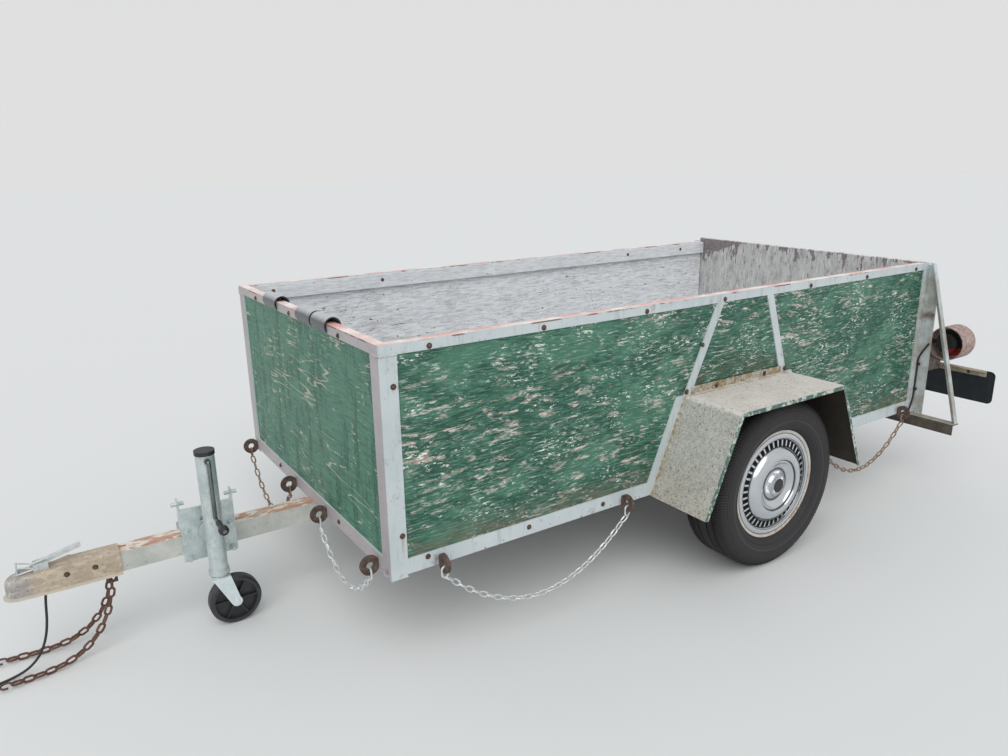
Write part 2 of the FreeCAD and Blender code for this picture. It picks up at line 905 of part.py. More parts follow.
bracket_front = 81.0
bracket_back = 74.0
bracket_rise = 115.0
bracket_drop = 22.0
near_plate = 8.0
far_plate = 6.0
boss_depth = 6.0
boss_radius = 30.0
pivot_pin = 10.0
disc_thick = 6.0
arch_radius = 26.0
arch_base = 36.0
ear_depth = 30.0
bracket_ear = 4.0
bolt_radius = 6.0
nut_radius = 10.0
nut_depth = 9.0
nut_gap = 1.0
nut_sides = 6
bolt_inset = 15.0
peg_drop = 14.0


def bracket_bolt(x, z, y_near, y_far):
    """Bolt across the tongue with a nut outside each plate."""
    pieces = [rod(bolt_radius, (x, y_near - 2 * nut_depth, z), (x, y_far + 2 * nut_depth, z))]
    for y, way in ((y_near, -1), (y_far, 1)):
        turns = [2 * math.pi * k / nut_sides for k in range(nut_sides)]
        points = [(x + nut_radius * math.cos(a), y, z + nut_radius * math.sin(a)) for a in turns]
        pieces.append(prism(points, (0, way * nut_depth, 0)))
    return pieces


def jack_bracket():
    """Two plates clamped on the tongue by bolts, with bent ears above it and the jack's pivot."""
    reach = tongue_side / 2
    x = (jack_x - bracket_front, jack_x + bracket_back)
    low, high = rail_base - tongue_side - bracket_drop, rail_base + bracket_rise
    y_near, y_far = -reach - near_plate, reach + far_plate
    near = box(x, (-reach, y_near), (low, high - ear_depth))
    arch_z = rail_base + arch_base
    arch = rod(arch_radius, (jack_x, y_near - 1, arch_z), (jack_x, -reach + 1, arch_z))
    arch = arch.common(box(x, (y_near - 1, -reach + 1), (arch_z, arch_z + arch_radius)))
    far = box(x, (reach, y_far), (low, rail_base + bracket_drop))
    pieces = [near.cut(arch), far]
    for ear_x in (x[0], x[1] - bracket_ear):
        ear_z = (rail_base + bracket_drop, high)
        pieces.append(box((ear_x, ear_x + bracket_ear), (y_near, y_near + ear_depth), ear_z))
        peg_y, peg_z = y_near + ear_depth / 2, high - peg_drop
        start, end = ear_x + bracket_ear / 2 - 2 * nut_depth, ear_x + bracket_ear / 2 + 2 * nut_depth
        pieces.append(rod(bolt_radius, (start, peg_y, peg_z), (end, peg_y, peg_z)))
    boss_end = (jack_x, y_near - boss_depth, jack_pivot_height)
    pieces.append(rod(boss_radius, (jack_x, y_near, jack_pivot_height), boss_end))
    pin_end = (jack_x, boss_end[1] - 2 * disc_thick, jack_pivot_height)
    pieces.append(rod(pivot_pin, boss_end, pin_end))
    clear = nut_radius + nut_gap
    for bolt_x in (x[0] + bolt_inset, x[1] - bolt_inset):
        for z in (rail_base + clear, rail_base - tongue_side - clear):
            pieces += bracket_bolt(bolt_x, z, y_near, y_far)
    return fused(pieces)


disc_margin = 4.0
saddle_width = 36.0
saddle_height = 80.0
collar_wall = 3.0
collar_height = 14.0


def jack_body():
    """Outer tube with the round swivel plate welded on through a saddle block."""
    y = -jack_offset
    low, high = jack_pivot_height - jack_below, jack_pivot_height + jack_above
    shell = tube(jack_tube_radius, jack_tube_radius - jack_tube_wall, (jack_x, y, low), (jack_x, y, high))
    plate_in = -tongue_side / 2 - near_plate - boss_depth - seat_gap
    plate_out = plate_in - disc_thick
    disc_end = (jack_x, plate_out, jack_pivot_height)
    disc = rod(boss_radius + disc_margin, (jack_x, plate_in, jack_pivot_height), disc_end)
    saddle_z = (jack_pivot_height - saddle_height / 2, jack_pivot_height + saddle_height / 2)
    saddle = box((jack_x - saddle_width / 2, jack_x + saddle_width / 2), (plate_out, y), saddle_z)
    bore = rod(jack_tube_radius - 1, (jack_x, y, low), (jack_x, y, high))
    pin_hole = rod(
        pivot_pin + running_clearance,
        (jack_x, plate_in + 1, jack_pivot_height),
        (jack_x, plate_in - 2 * disc_thick - 1, jack_pivot_height),
    )
    collar_top = (jack_x, y, low + collar_height)
    collar = tube(jack_tube_radius + collar_wall, jack_tube_radius - 1, (jack_x, y, low), collar_top)
    return fused([shell, disc, saddle.cut(bore), collar]).cut(pin_hole)


cap_height = 12.0
cap_lip = 2.0
crank_radius = 6.0
crank_boss = 9.0
crank_boss_depth = 8.0
crank_arm = 170.0
crank_handle = 105.0
crank_inset = 14.0
crank_standoff = 16.0
knob_lap = 70.0

# Crank's grip: distance from its inner end, and radius.
knob_outline = ((0, 8.4), (31, 7.8), (50, 13.8), (63, 13.8), (72, 9.0))


def jack_cap():
    y = -jack_offset
    start = jack_pivot_height + jack_above
    return rod(jack_tube_radius + cap_lip, (jack_x, y, start), (jack_x, y, start + cap_height))


def crank_places():
    """Height of the crank's shaft, and how far out its arm hangs beside the tube."""
    return jack_pivot_height + jack_above - crank_inset, -jack_offset - jack_tube_radius - crank_standoff


def jack_crank():
    """Shaft out of the tube's head, arm hanging beside the tube and a handle outward at its end."""
    z, arm_y = crank_places()
    root_y = -jack_offset - jack_tube_radius
    low = z - crank_arm
    pieces = [
        rod(crank_boss, (jack_x, root_y, z), (jack_x, root_y - crank_boss_depth, z)),
        rod(crank_radius, (jack_x, root_y, z), (jack_x, arm_y, z)),
        rod(crank_radius, (jack_x, arm_y, z), (jack_x, arm_y, low)),
        rod(crank_radius, (jack_x, arm_y, low), (jack_x, arm_y - crank_handle, low)),
    ]
    for corner in ((jack_x, arm_y, z), (jack_x, arm_y, low)):
        pieces.append(Part.makeSphere(crank_radius, V(*corner)))
    reach = 2 * crank_boss
    tube_body = rod(jack_tube_radius, (jack_x, -jack_offset, z - reach), (jack_x, -jack_offset, z + reach))
    return fused(pieces).cut(tube_body)


def crank_knob():
    """Plastic grip on the crank's handle, swelling to a rounded end."""
    z, arm_y = crank_places()
    low = z - crank_arm
    grip = [(radius, along) for along, radius in knob_outline]
    grip = [(crank_radius, grip[0][1])] + grip + [(crank_radius, grip[-1][1])]
    return turned(grip, (jack_x, arm_y - crank_handle + knob_lap, low), -1)


yoke_top = 126.0
yoke_plate = 7.5
yoke_spread = 26.0
stud_bearing = 8.0
foot_flange = 3.0


def jack_leg():
    """Inner tube that slides out of the outer one, with a closed foot and the swivel's stud."""
    y = -jack_offset
    low = jack_pivot_height - yoke_top
    shell = tube(leg_radius, leg_radius - jack_tube_wall, (jack_x, y, low), (jack_x, y, low + leg_length))
    foot = rod(yoke_spread, (jack_x, y, low), (jack_x, y, low + foot_flange))
    stud = rod(stud_bearing, (jack_x, y, low), (jack_x, y, low - yoke_plate - seat_gap))
    return fused([shell, foot, stud])


fork_plate = 4.0
fork_gap = 5.0
fork_eye = 16.0
caster_axle_radius = 6.0
caster_axle_end = 5.0
eye_corners = 7
eye_start = 50.0
eye_sweep = 210.0


def jack_yoke():
    """Swivel crown and two drop-shaped fork plates round the wheel's axle."""
    y = -jack_offset
    high = jack_pivot_height - yoke_top - seat_gap
    low = high - yoke_plate
    axle = (jack_x + caster_trail, y, caster_axle_height)
    fork_in = caster_width / 2 + fork_gap
    reach = fork_in + fork_plate
    crown = box((jack_x - yoke_spread, jack_x + yoke_spread), (y - reach, y + reach), (low, high))
    crown = crown.cut(rod(stud_bearing + running_clearance, (jack_x, y, low - 1), (jack_x, y, high + 1)))
    pieces = [crown]
    for side in (-1, 1):
        y_in = y + side * fork_in
        outline = []
        for corner_x in (jack_x - yoke_spread, jack_x + yoke_spread):
            outline.append((corner_x, y_in, high))
        for corner in range(eye_corners):
            angle = math.radians(eye_start - corner * eye_sweep / (eye_corners - 1))
            outline.append((axle[0] + fork_eye * math.cos(angle), y_in, axle[2] + fork_eye * math.sin(angle)))
        pieces.append(prism(outline, (0, side * fork_plate, 0)))
    end = reach + caster_axle_end
    pieces.append(rod(caster_axle_radius, (axle[0], y - end, axle[2]), (axle[0], y + end, axle[2])))
    return fused(pieces)


rib_count = 6
rib_thick = 4.0
caster_web = 8.0
caster_hub = 16.0
caster_rim = 62.0
caster_bevel = 6.0
rib_inset = 4.0
rib_bite = 2.0


def jack_wheel():
    """Moulded plastic wheel: hub, thin web, deep rim and ribs from hub to rim."""
    bore = caster_axle_radius + running_clearance
    half_width = caster_width / 2
    profile = [
        (bore, half_width),
        (caster_hub, half_width),
        (caster_hub, caster_web / 2),
        (caster_rim, caster_web / 2),
        (caster_rim, half_width),
        (caster_radius - caster_bevel, half_width),
        (caster_radius, half_width - caster_bevel),
    ]
    profile += [(r, -s) for r, s in reversed(profile)]
    centre = (jack_x + caster_trail, -jack_offset, caster_axle_height)
    pieces = [turned(profile, centre, 1)]
    depth = 2 * (half_width - rib_inset)
    length = caster_rim - caster_hub + 2 * rib_bite
    for n in range(rib_count):
        rib = Part.makeBox(length, depth, rib_thick, V(caster_hub - rib_bite, -depth / 2, -rib_thick / 2))
        rib.rotate(V(0, 0, 0), V(0, 1, 0), 360 * n / rib_count)
        rib.translate(V(*centre))
        pieces.append(rib)
    return fused(pieces)


# Tie rings, saddles and chains

ring_radius = 28.0
ring_bore = 11.0
ring_thick = 9.0
ring_bite = 3.0
ring_height = rail_base + 12.0

# Front rings: place across the bed.  Side rings: distance behind the bed's front.
front_rings = (-527.0, -146.0, 138.0, 586.0)
side_rings = (145.0, 799.0, 1780.0, 2335.0)


def ring(axis, centre, seat):
    """Thick washer on edge against a rail, flattened where it is welded."""
    ends = []
    for way in (-0.5, 0.5):
        ends.append(tuple(c + way * ring_thick * a for c, a in zip(centre, axis)))
    return tube(ring_radius, ring_bore, *ends).common(seat)


def tie_rings():
    rings = []
    ahead = box((bed_front - 3 * ring_radius, bed_front), (-bed_width, bed_width), (0, top))
    for place_on_front in front_ring_places():
        rings.append(ring((0, 1, 0), tuple(place_on_front), ahead))
    for side in (-1, 1):
        beside = box((bed_front, bed_rear), (side * half, side * (half + 3 * ring_radius)), (0, top))
        for place_on_side in side_ring_places(side):
            rings.append(ring((1, 0, 0), tuple(place_on_side), beside))
    return rings


saddle_bore = 22.5
saddle_wall = 3.0
saddle_inset = 17.0
saddle_drop = 8.0

# Saddles on the front rail: the middle across the bed and the length.
saddles = ((225.0, 125.0), (-95.0, 120.0), (-222.0, 110.0))


def rail_saddles():
    """Half pipes over the front top rail, their open side down and a little to the rear."""
    out = []
    x, z = bed_front + saddle_inset, top - saddle_drop
    reach = saddle_bore + saddle_wall
    for middle, length in saddles:
        start, end = (x, middle - length / 2, z), (x, middle + length / 2, z)
        pipe = tube(reach, saddle_bore, start, end)
        upper = box((x - reach, x + reach), (start[1], end[1]), (z, z + reach))
        front = box((x - reach, x - saddle_inset - seat_gap), (start[1], end[1]), (z - reach, z))
        out.append(pipe.common(fused([upper, front])))
    return out


def link(centre, along, across, upright):
    """Chain link as a flat ring with bevelled ends, standing on edge or lying."""
    window = link_pitch + link_play
    gap = link_width - 2 * link_wire
    end, side = window / 2 + link_wire, link_width / 2
    quarter = [(end, side - link_bevel), (end - link_bevel, side)]
    outline = quarter + [(-x, y) for x, y in reversed(quarter)]
    outline += [(-x, -y) for x, y in outline]
    solid = prism([(x, y, -link_wire / 2) for x, y in outline], (0, 0, link_wire))
    hole = Part.makeBox(window, gap, 2 * link_wire, V(-window / 2, -gap / 2, -link_wire))
    shape = solid.cut(hole)
    if upright:
        shape.rotate(V(0, 0, 0), V(1, 0, 0), 90)
    up = along.cross(across)
    rows = [(a, b, c, d) for a, b, c, d in zip(along, across, up, centre)]
    numbers = [number for row in rows for number in row] + [0, 0, 0, 1]
    shape.transformShape(FreeCAD.Matrix(*numbers))
    return shape


def walk(route, distance):
    """The point a distance along a route."""
    for start, end in zip(route, route[1:]):
        length = (end - start).Length
        if distance <= length:
            return start + (end - start) * (distance / length)
        distance -= length
    return route[-1]


def route_length(route):
    return sum((b - a).Length for a, b in zip(route, route[1:]))


def chain_along(route, count, across, first_upright=True):
    """Links at equal steps along a route from its start, turned a quarter each time."""
    step = route_length(route) / count
    links = []
    for n in range(count):
        start, end = walk(route, n * step), walk(route, (n + 1) * step)
        along = end - start
        along.normalize()
        across = across - along * across.dot(along)
        across.normalize()
        upright = (n % 2 == 0) == first_upright
        links.append(link((start + end) * 0.5, along, across, upright))
    return links


sag_steps = 24
sag_halvings = 30


def parabola(start, end, sag):
    points = []
    for n in range(sag_steps + 1):
        t = n / sag_steps
        points.append(start + (end - start) * t - V(0, 0, 4 * sag * t * (1 - t)))
    return points


def swag(start, end, length):
    """Route of a slack chain of a length between two places, its sag found by halving."""
    low, high = 0.0, length
    for _ in range(sag_halvings):
        sag = (low + high) / 2
        if route_length(parabola(start, end, sag)) < length:
            low = sag
        else:
            high = sag
    return parabola(start, end, sag)


hook_gap = 12.0
hook_wire = 5.0
hook_slack = 2.0


def tie_hook(centre, along):
    """Closed hook, flat along the rail, through a ring's hole and down to its chain."""
    top_bar = centre + V(0, 0, -ring_bore + fit_gap)
    depth = ring_radius - ring_bore + 2 * link_wire + hook_slack
    side = along * (hook_gap / 2 + hook_wire)
    out = V(0, 0, 1).cross(along) * (hook_wire / 2)
    low = V(0, 0, -depth - hook_wire)
    high = V(0, 0, hook_wire)
    corners = [top_bar - side + high - out, top_bar + side + high - out]
    corners += [top_bar + side + low - out, top_bar - side + low - out]
    frame = prism([tuple(c) for c in corners], tuple(out * 2))
    side = along * (hook_gap / 2)
    corners = [top_bar - side - out * 2, top_bar + side - out * 2]
    corners += [top_bar + side + V(0, 0, -depth) - out * 2, top_bar - side + V(0, 0, -depth) - out * 2]
    window = prism([tuple(c) for c in corners], tuple(out * 4))
    return frame.cut(window), top_bar + V(0, 0, link_wire / 2 - depth)


# Slack of each chain, as its length over its span
front_slack = 1.12
side_slack = 1.08


def tie_chain(ring_a, ring_b, slack):
    """Chain hung by a hook from each of two rings, with a whole number of links."""
    along = (ring_b - ring_a).normalize()
    first, start = tie_hook(ring_a, along)
    last, end = tie_hook(ring_b, along)
    count = round((end - start).Length * slack / link_pitch)
    count += 1 - count % 2
    across = V(0, 0, 1).cross(along)
    return [first, last] + chain_along(swag(start, end, count * link_pitch), count, across, False)


def front_ring_places():
    return [V(bed_front - ring_radius + ring_bite, y, ring_height) for y in front_rings]


def side_ring_places(side):
    y = side * (half + ring_radius - ring_bite)
    return [V(bed_front + setback, y, ring_height) for setback in side_rings]


def tie_chains(places, slack):
    return tie_chain(places[0], places[1], slack) + tie_chain(places[2], places[3], slack)


# Safety chains: the lug's place across the tongue, then points down to the floor and forward.
# They are measured behind the tongue's front end, across from the middle and up from the ground.
lug_setback = 100.0
lug_thick = 6.0
lug_hole = 8.0
lug_rim = 5.0
lug_width = 30.0
lug_drop = 14.0
safety_routes = (
    (-24.0, ((90, -25, 150), (66, -30, 92), (20, -44, 38), (-40, -62, 14), (-110, -76, 11), (-195, -80, 11))),
    (24.0, ((90, 24, 150), (64, 28, 93), (14, 37, 39), (-50, 44, 14), (-120, 46, 11), (-195, 52, 11))),
)


def chain_lugs():
    """Drilled plates under the tongue that the safety chains are threaded through."""
    lugs = []
    low = rail_base - tongue_side
    hole_z = low - lug_drop
    for y, _ in safety_routes:
        middle = tongue_front() + lug_setback
        x = (middle - lug_width / 2, middle + lug_width / 2)
        plate = box(x, (y - lug_thick / 2, y + lug_thick / 2), (hole_z - lug_hole - lug_rim, low))
        hole = rod(lug_hole, (middle, y - lug_thick, hole_z), (middle, y + lug_thick, hole_z))
        lugs.append(plate.cut(hole))
    return lugs


hook_ring = 17.0
hook_bore = 10.0
hook_mouth = 7.0
hook_thick = 6.0
route_steps = 60


def safety_chains():
    """Chains from the lugs, laid forward on the floor, each with an open hook at its end."""
    solids = []
    start_z = rail_base - tongue_side - lug_drop - lug_hole + clamp_gap
    for y, route in safety_routes:
        points = [V(tongue_front() + lug_setback, y, start_z)]
        points += [V(tongue_front() + p[0], p[1], p[2]) for p in route]
        curve = Part.BSplineCurve()
        curve.interpolate(points)
        smooth = curve.discretize(route_steps)
        count = int(route_length(smooth) // link_pitch)
        smooth = [walk(smooth, n * count * link_pitch / route_steps) for n in range(route_steps + 1)]
        solids += chain_along(smooth, count, V(0, 1, 0), False)
        end = smooth[-1]
        way = (smooth[-1] - smooth[-2]).normalize()
        centre = end + way * (hook_bore - fit_gap)
        low, high = end.z - hook_thick / 2, end.z + hook_thick / 2
        flat = tube(hook_ring, hook_bore, (centre.x, centre.y, low), (centre.x, centre.y, high))
        mouth = box((centre.x - hook_ring - 1, centre.x), (centre.y, centre.y + hook_mouth), (0, top))
        solids.append(flat.cut(mouth))
    return solids


# Wiring: grommet in the tongue's end, free cable to the floor and its plug.  Points are measured
# behind the tongue's front end, across from the middle and up from the ground.
cable_radius = 3.5
grommet_depth = 14.0
cable_route = (
    (-35, 6, 245),
    (-62, 2, 216),
    (-68, -7, 176),
    (-72, -17, 132),
    (-82, -28, 88),
    (-102, -36, 46),
    (-136, -39, 16),
    (-178, -40, 4.2),
    (-222, -49, 4.0),
    (-258, -80, 4.0),
    (-274, -124, 4.0),
)
cable_exit_height = 245.0
plug_length = 46.0
plug_width = 22.0
plug_height = 9.0


def tongue_front():
    return bed_front - nose_reach + coupler_length - coupler_lap


def cable_grommet():
    """Rubber plug in the tongue's open end, where the cable comes out."""
    reach = tongue_side / 2 - tongue_wall
    middle = rail_base - tongue_side / 2
    x = tongue_front()
    return box((x, x + grommet_depth), (-reach, reach), (middle - reach, middle + reach))


bend_share = 0.45


def round_corners(points, radius):
    """Tube along straight runs joined by tangent arcs, each as large as its two runs allow."""
    edges = []
    last = points[0]
    radii = []
    for before, corner, after in zip(points, points[1:], points[2:]):
        run_in, run_out = (before - corner), (after - corner)
        trim = bend_share * min(run_in.Length, run_out.Length)
        a = corner + V(run_in).normalize() * trim
        b = corner + V(run_out).normalize() * trim
        half_turn = (math.pi - run_in.getAngle(run_out)) / 2
        radii.append(trim / math.tan(half_turn))
        bisector = (V(run_in).normalize() + V(run_out).normalize()).normalize()
        centre = corner + bisector * (radii[-1] / math.cos(half_turn))
        mid = centre - bisector * radii[-1]
        edges.append(Part.makeLine(last, a))
        edges.append(Part.Arc(a, mid, b).toShape())
        last = b
    edges.append(Part.makeLine(last, points[-1]))
    path = Part.Wire(edges)
    start = (points[1] - points[0]).normalize()
    circle = Part.Wire(Part.makeCircle(radius, points[0], start))
    solid = path.makePipeShell([circle], True, False)
    return solid, radii, path.Length


def wiring_cable():
    points = [V(tongue_front(), cable_route[0][1], cable_exit_height)]
    points += [V(tongue_front() + x, y, z) for x, y, z in cable_route]
    solid, radii, length = round_corners(points, cable_radius)
    share = solid.Volume / (math.pi * cable_radius ** 2 * length)
    print("cable radii", [round(r) for r in radii], "length", round(length), "volume share", round(share, 4))
    return solid


def wiring_plug():
    """Flat four-way plug at the cable's end."""
    a, b = cable_route[-2], cable_route[-1]
    end = V(tongue_front() + b[0], b[1], b[2])
    way = V(b[0] - a[0], b[1] - a[1], 0).normalize()
    across = V(-way.y, way.x, 0) * (plug_width / 2)
    base = end.z - cable_radius
    corners = [end - across, end + across, end + across + way * plug_length, end - across + way * plug_length]
    return prism([(c.x, c.y, base) for c in corners], (0, 0, plug_height))


def write(name, shapes):
    shape = shapes[0] if len(shapes) == 1 else Part.makeCompound(shapes)
    shape.exportStep(os.path.join("parts", name + ".step"))


# Node name and the solids in it
nodes = {
    "bottom_side_rails": both_sides(bottom_side_rail()),
    "front_bottom_rail": [front_bottom_rail()],
    "top_side_rails": both_sides(top_side_rail()),
    "front_top_rail": [front_top_rail()],
    "front_posts": both_sides(front_post()),
    "rear_posts": both_sides(rear_post()),
    "floor_crossmembers": crossmembers(),
    "rear_crossmember": [rear_crossmember()],
    "lamp_posts": both_sides(lamp_post()),
    "lamp_braces": both_sides(lamp_brace()),
    "left_panel": [side_panel()],
    "right_panel": [mirrored(side_panel())],
    "front_panel": [front_panel()],
    "inner_boards": both_sides(side_board()) + [front_board()],
    "floor_panel": [floor_panel()],
    "tailgate": [tailgate()],
    "left_fender": [fender()],
    "right_fender": [mirrored(fender())],
    "fender_braces": fender_braces() + [mirrored(b) for b in fender_braces()],
    "lamp_arms": both_sides(lamp_arm()),
    "lamp_guards": both_sides(lamp_guard()),
    "tail_lamps": both_sides(tail_lamp()),
    "lamp_cables": lamp_cables() + [mirrored(c) for c in lamp_cables()],
    "plate_hanger": [plate_hanger()],
    "number_plate": [number_plate()],
    "axle_beam": [axle_beam()],
    "leaf_springs": both_sides(leaf_spring()),
    "spring_hangers": spring_hangers() + [mirrored(e) for e in spring_hangers()],
    "axle_clamps": axle_clamps() + [mirrored(c) for c in axle_clamps()],
    "tongue": [tongue()],
    "coupler": [coupler()],
    "coupler_latch": [coupler_latch()],
    "jack_bracket": [jack_bracket()],
    "jack_outer_tube": [jack_body()],
    "jack_cap": [jack_cap()],
    "jack_crank": [jack_crank()],
    "crank_knob": [crank_knob()],
    "jack_inner_tube": [jack_leg()],
    "jack_yoke": [jack_yoke()],
    "jack_wheel": [jack_wheel()],
    "tie_rings": tie_rings(),
    "rail_saddles": rail_saddles(),
    "front_tie_chains": tie_chains(front_ring_places(), front_slack),
    "left_tie_chains": tie_chains(side_ring_places(-1), side_slack),
    "right_tie_chains": tie_chains(side_ring_places(1), side_slack),
    "chain_lugs": chain_lugs(),
    "safety_chains": safety_chains(),
    "cable_grommet": [cable_grommet()],
    "wiring_cable": [wiring_cable()],
    "wiring_plug": [wiring_plug()],
}
for side_name, side in (("left", -1), ("right", 1)):
    nodes[side_name + "_tyre"] = [tyre(side)]
    nodes[side_name + "_rim"] = [rim(side)]
    nodes[side_name + "_wheel_cover"] = [wheel_cover(side)]
    nodes[side_name + "_wheel_hub"] = [wheel_hub(side)]

os.makedirs("parts", exist_ok=True)
for name, shapes in nodes.items():
    write(name, shapes)
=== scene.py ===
"""Looks of the utility trailer: worn enamel, weathered plywood, rust, rubber and chrome over its frame."""

import math
import random

import bmesh
import bpy
from mathutils import Matrix, Vector


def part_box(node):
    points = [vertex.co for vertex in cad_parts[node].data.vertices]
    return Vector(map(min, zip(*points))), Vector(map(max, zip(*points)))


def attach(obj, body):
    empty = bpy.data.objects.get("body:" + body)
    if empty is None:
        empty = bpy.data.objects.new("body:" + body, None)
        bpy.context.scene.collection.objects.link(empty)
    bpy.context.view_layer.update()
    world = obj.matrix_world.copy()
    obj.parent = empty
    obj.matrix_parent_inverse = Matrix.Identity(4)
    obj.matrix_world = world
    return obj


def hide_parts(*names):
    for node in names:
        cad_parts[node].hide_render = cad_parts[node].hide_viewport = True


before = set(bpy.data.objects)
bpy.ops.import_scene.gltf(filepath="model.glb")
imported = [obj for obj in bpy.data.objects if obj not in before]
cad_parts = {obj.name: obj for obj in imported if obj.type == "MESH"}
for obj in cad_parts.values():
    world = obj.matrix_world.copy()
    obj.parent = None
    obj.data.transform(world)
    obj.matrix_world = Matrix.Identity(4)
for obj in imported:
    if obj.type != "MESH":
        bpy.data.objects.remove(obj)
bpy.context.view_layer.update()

# Angle-iron frame: corner posts of 50 mm and rails of 38 mm by 44 mm, mild steel, welded at the corners
# and brushed with white enamel over red primer.  Sun and loads have worn the flat tops back to the primer,
# forward faces near the front carry painted shade in purplish grey, and rust bleeds from the tie rings and
# the lower edges.


def linear(code):
    """The linear colour that a shader takes, from an sRGB hex value."""
    channels = [int(code[i : i + 2], 16) / 255 for i in (1, 3, 5)]
    return [c / 12.92 if c <= 0.04045 else ((c + 0.055) / 1.055) ** 2.4 for c in channels] + [1.0]


def add(tree, kind, inputs=None, out=0, **settings):
    """Adds a node with its settings and links, and returns one of its outputs."""
    node = tree.nodes.new("ShaderNode" + kind)
    for name, value in settings.items():
        setattr(node, name, value)
    for name, value in (inputs or {}).items():
        if isinstance(value, bpy.types.NodeSocket):
            tree.links.new(value, node.inputs[name])
        else:
            node.inputs[name].default_value = linear(value) if isinstance(value, str) else value
    return node.outputs[out]


def finish(name, **surface):
    """A new material with the shader's own values set, its tree, and the place on the object."""
    made = bpy.data.materials.new(name)
    made.use_nodes = True
    shader = made.node_tree.nodes["Principled BSDF"]
    for key, value in surface.items():
        shader.inputs[key.replace("_", " ")].default_value = value
    return made, made.node_tree, add(made.node_tree, "TexCoord", out="Object")


def surfaced(made, colour, relief, depth, strength, gloss=None, under=None):
    """The material with its colour, its relief and its roughness, as a mask and the values of none and full.

    Its relief lies over another, where one is given."""
    tree = made.node_tree
    shader = tree.nodes["Principled BSDF"].inputs
    tree.links.new(colour, shader["Base Color"])
    if gloss:
        mask, low, high = gloss
        worn = add(tree, "MapRange", {"Value": mask, "To Min": low, "To Max": high})
        tree.links.new(worn, shader["Roughness"])
    ridges = {"Height": relief, "Distance": depth, "Strength": strength}
    if under:
        ridges["Normal"] = under
    tree.links.new(add(tree, "Bump", ridges), shader["Normal"])
    return made


def per_mm(size):
    """Scale of a pattern whose features are a size in millimetres."""
    return 1000.0 / size


def beyond(tree, value, start, full):
    """Mask that goes from none at one value to full at another, up or down."""
    return add(tree, "MapRange", {"Value": value, "From Min": start, "From Max": full})


def apart(tree, value, other):
    """How far one value is from another, either way."""
    gap = add(tree, "Math", {0: value, 1: other}, operation="SUBTRACT")
    return add(tree, "Math", {0: gap}, operation="ABSOLUTE")


def shared(tree, *masks):
    """Mask of where all of several masks are, which may be plain numbers."""
    product = masks[0]
    for mask in masks[1:]:
        product = add(tree, "Math", {0: product, 1: mask}, operation="MULTIPLY")
    return product


def any_of(tree, *masks):
    """Mask of where any of several masks is."""
    most = masks[0]
    for mask in masks[1:]:
        most = add(tree, "Math", {0: most, 1: mask}, operation="MAXIMUM")
    return most


def patches(tree, place, size, level, soft=0.03, seed=0, stretch=1, detail=6.0):
    """Mask of ragged patches of a size in millimetres, fewer where the level is higher.

    They are longer by the stretch along x, or along each axis by its own."""
    scale = [per_mm(size) / s for s in (stretch if isinstance(stretch, tuple) else (stretch, 1, 1))]
    spot = add(tree, "Mapping", {"Vector": place, "Scale": scale, "Location": (seed, 1.7 * seed, 0.6 * seed)})
    noise = add(tree, "TexNoise", {"Vector": spot, "Scale": 1.0, "Detail": detail, "Roughness": 0.62})
    return beyond(tree, noise, level - soft, level + soft)


def specks(tree, place, pitch, radius, share):
    """Mask of round dots, on a share of the cells of a pitch in millimetres."""
    cell = add(tree, "TexVoronoi", {"Vector": place, "Scale": per_mm(pitch)})
    drawn = add(tree, "SeparateColor", {"Color": cell.node.outputs["Color"]})
    chosen = add(tree, "Math", {0: drawn, 1: share}, operation="LESS_THAN")
    return shared(tree, chosen, beyond(tree, cell, radius / pitch, 0.6 * radius / pitch))


def coats(tree, base, *layers):
    """Colour of a base coat with others over it, each given as its mask, its colour and its strength."""
    for mask, colour, *strength in layers:
        mask = shared(tree, mask, *strength)
        base = add(tree, "Mix", {0: mask, 6: base, 7: colour}, out=2, data_type="RGBA")
    return base


def dress(nodes, made):
    """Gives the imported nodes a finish."""
    for node in nodes:
        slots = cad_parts[node].data.materials
        slots.clear()
        slots.append(made)


def solids_of(node):
    """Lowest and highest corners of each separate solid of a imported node, read from a copy of its mesh."""
    copy = bmesh.new()
    copy.from_mesh(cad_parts[node].data)
    bmesh.ops.remove_doubles(copy, verts=copy.verts, dist=1e-5)
    seen, found = set(), []
    for first in copy.verts:
        if first in seen:
            continue
        seen.add(first)
        reached = [first]
        for vert in reached:
            for edge in vert.link_edges:
                other = edge.other_vert(vert)
                if other not in seen:
                    seen.add(other)
                    reached.append(other)
        ways = range(3)
        low = Vector([min(v.co[i] for v in reached) for i in ways])
        high = Vector([max(v.co[i] for v in reached) for i in ways])
        found.append((low, high))
    copy.free()
    return found


rail_low, rail_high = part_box("bottom_side_rails")
bed_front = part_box("front_posts")[0].x
bed_rear, half_width, bed_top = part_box("rear_posts")[1]
top_rail_leg = 0.028
# Where rust has bled, and how far round: each tie ring, and a place on the lamp post.
ring_bleed, post_bleed = 0.027, 0.03
rusty_places = [((low + high) / 2, ring_bleed) for low, high in solids_of("tie_rings") if low.y > 0]
rusty_places.append((Vector((bed_rear - 0.02, half_width + 0.03, 0.7)), post_bleed))
# Bolts that have bled down the corner post: setback from the bed's front, height and length of the run.
bled_runs = ((0.038, 0.399, 0.07), (0.036, 0.804, 0.02))


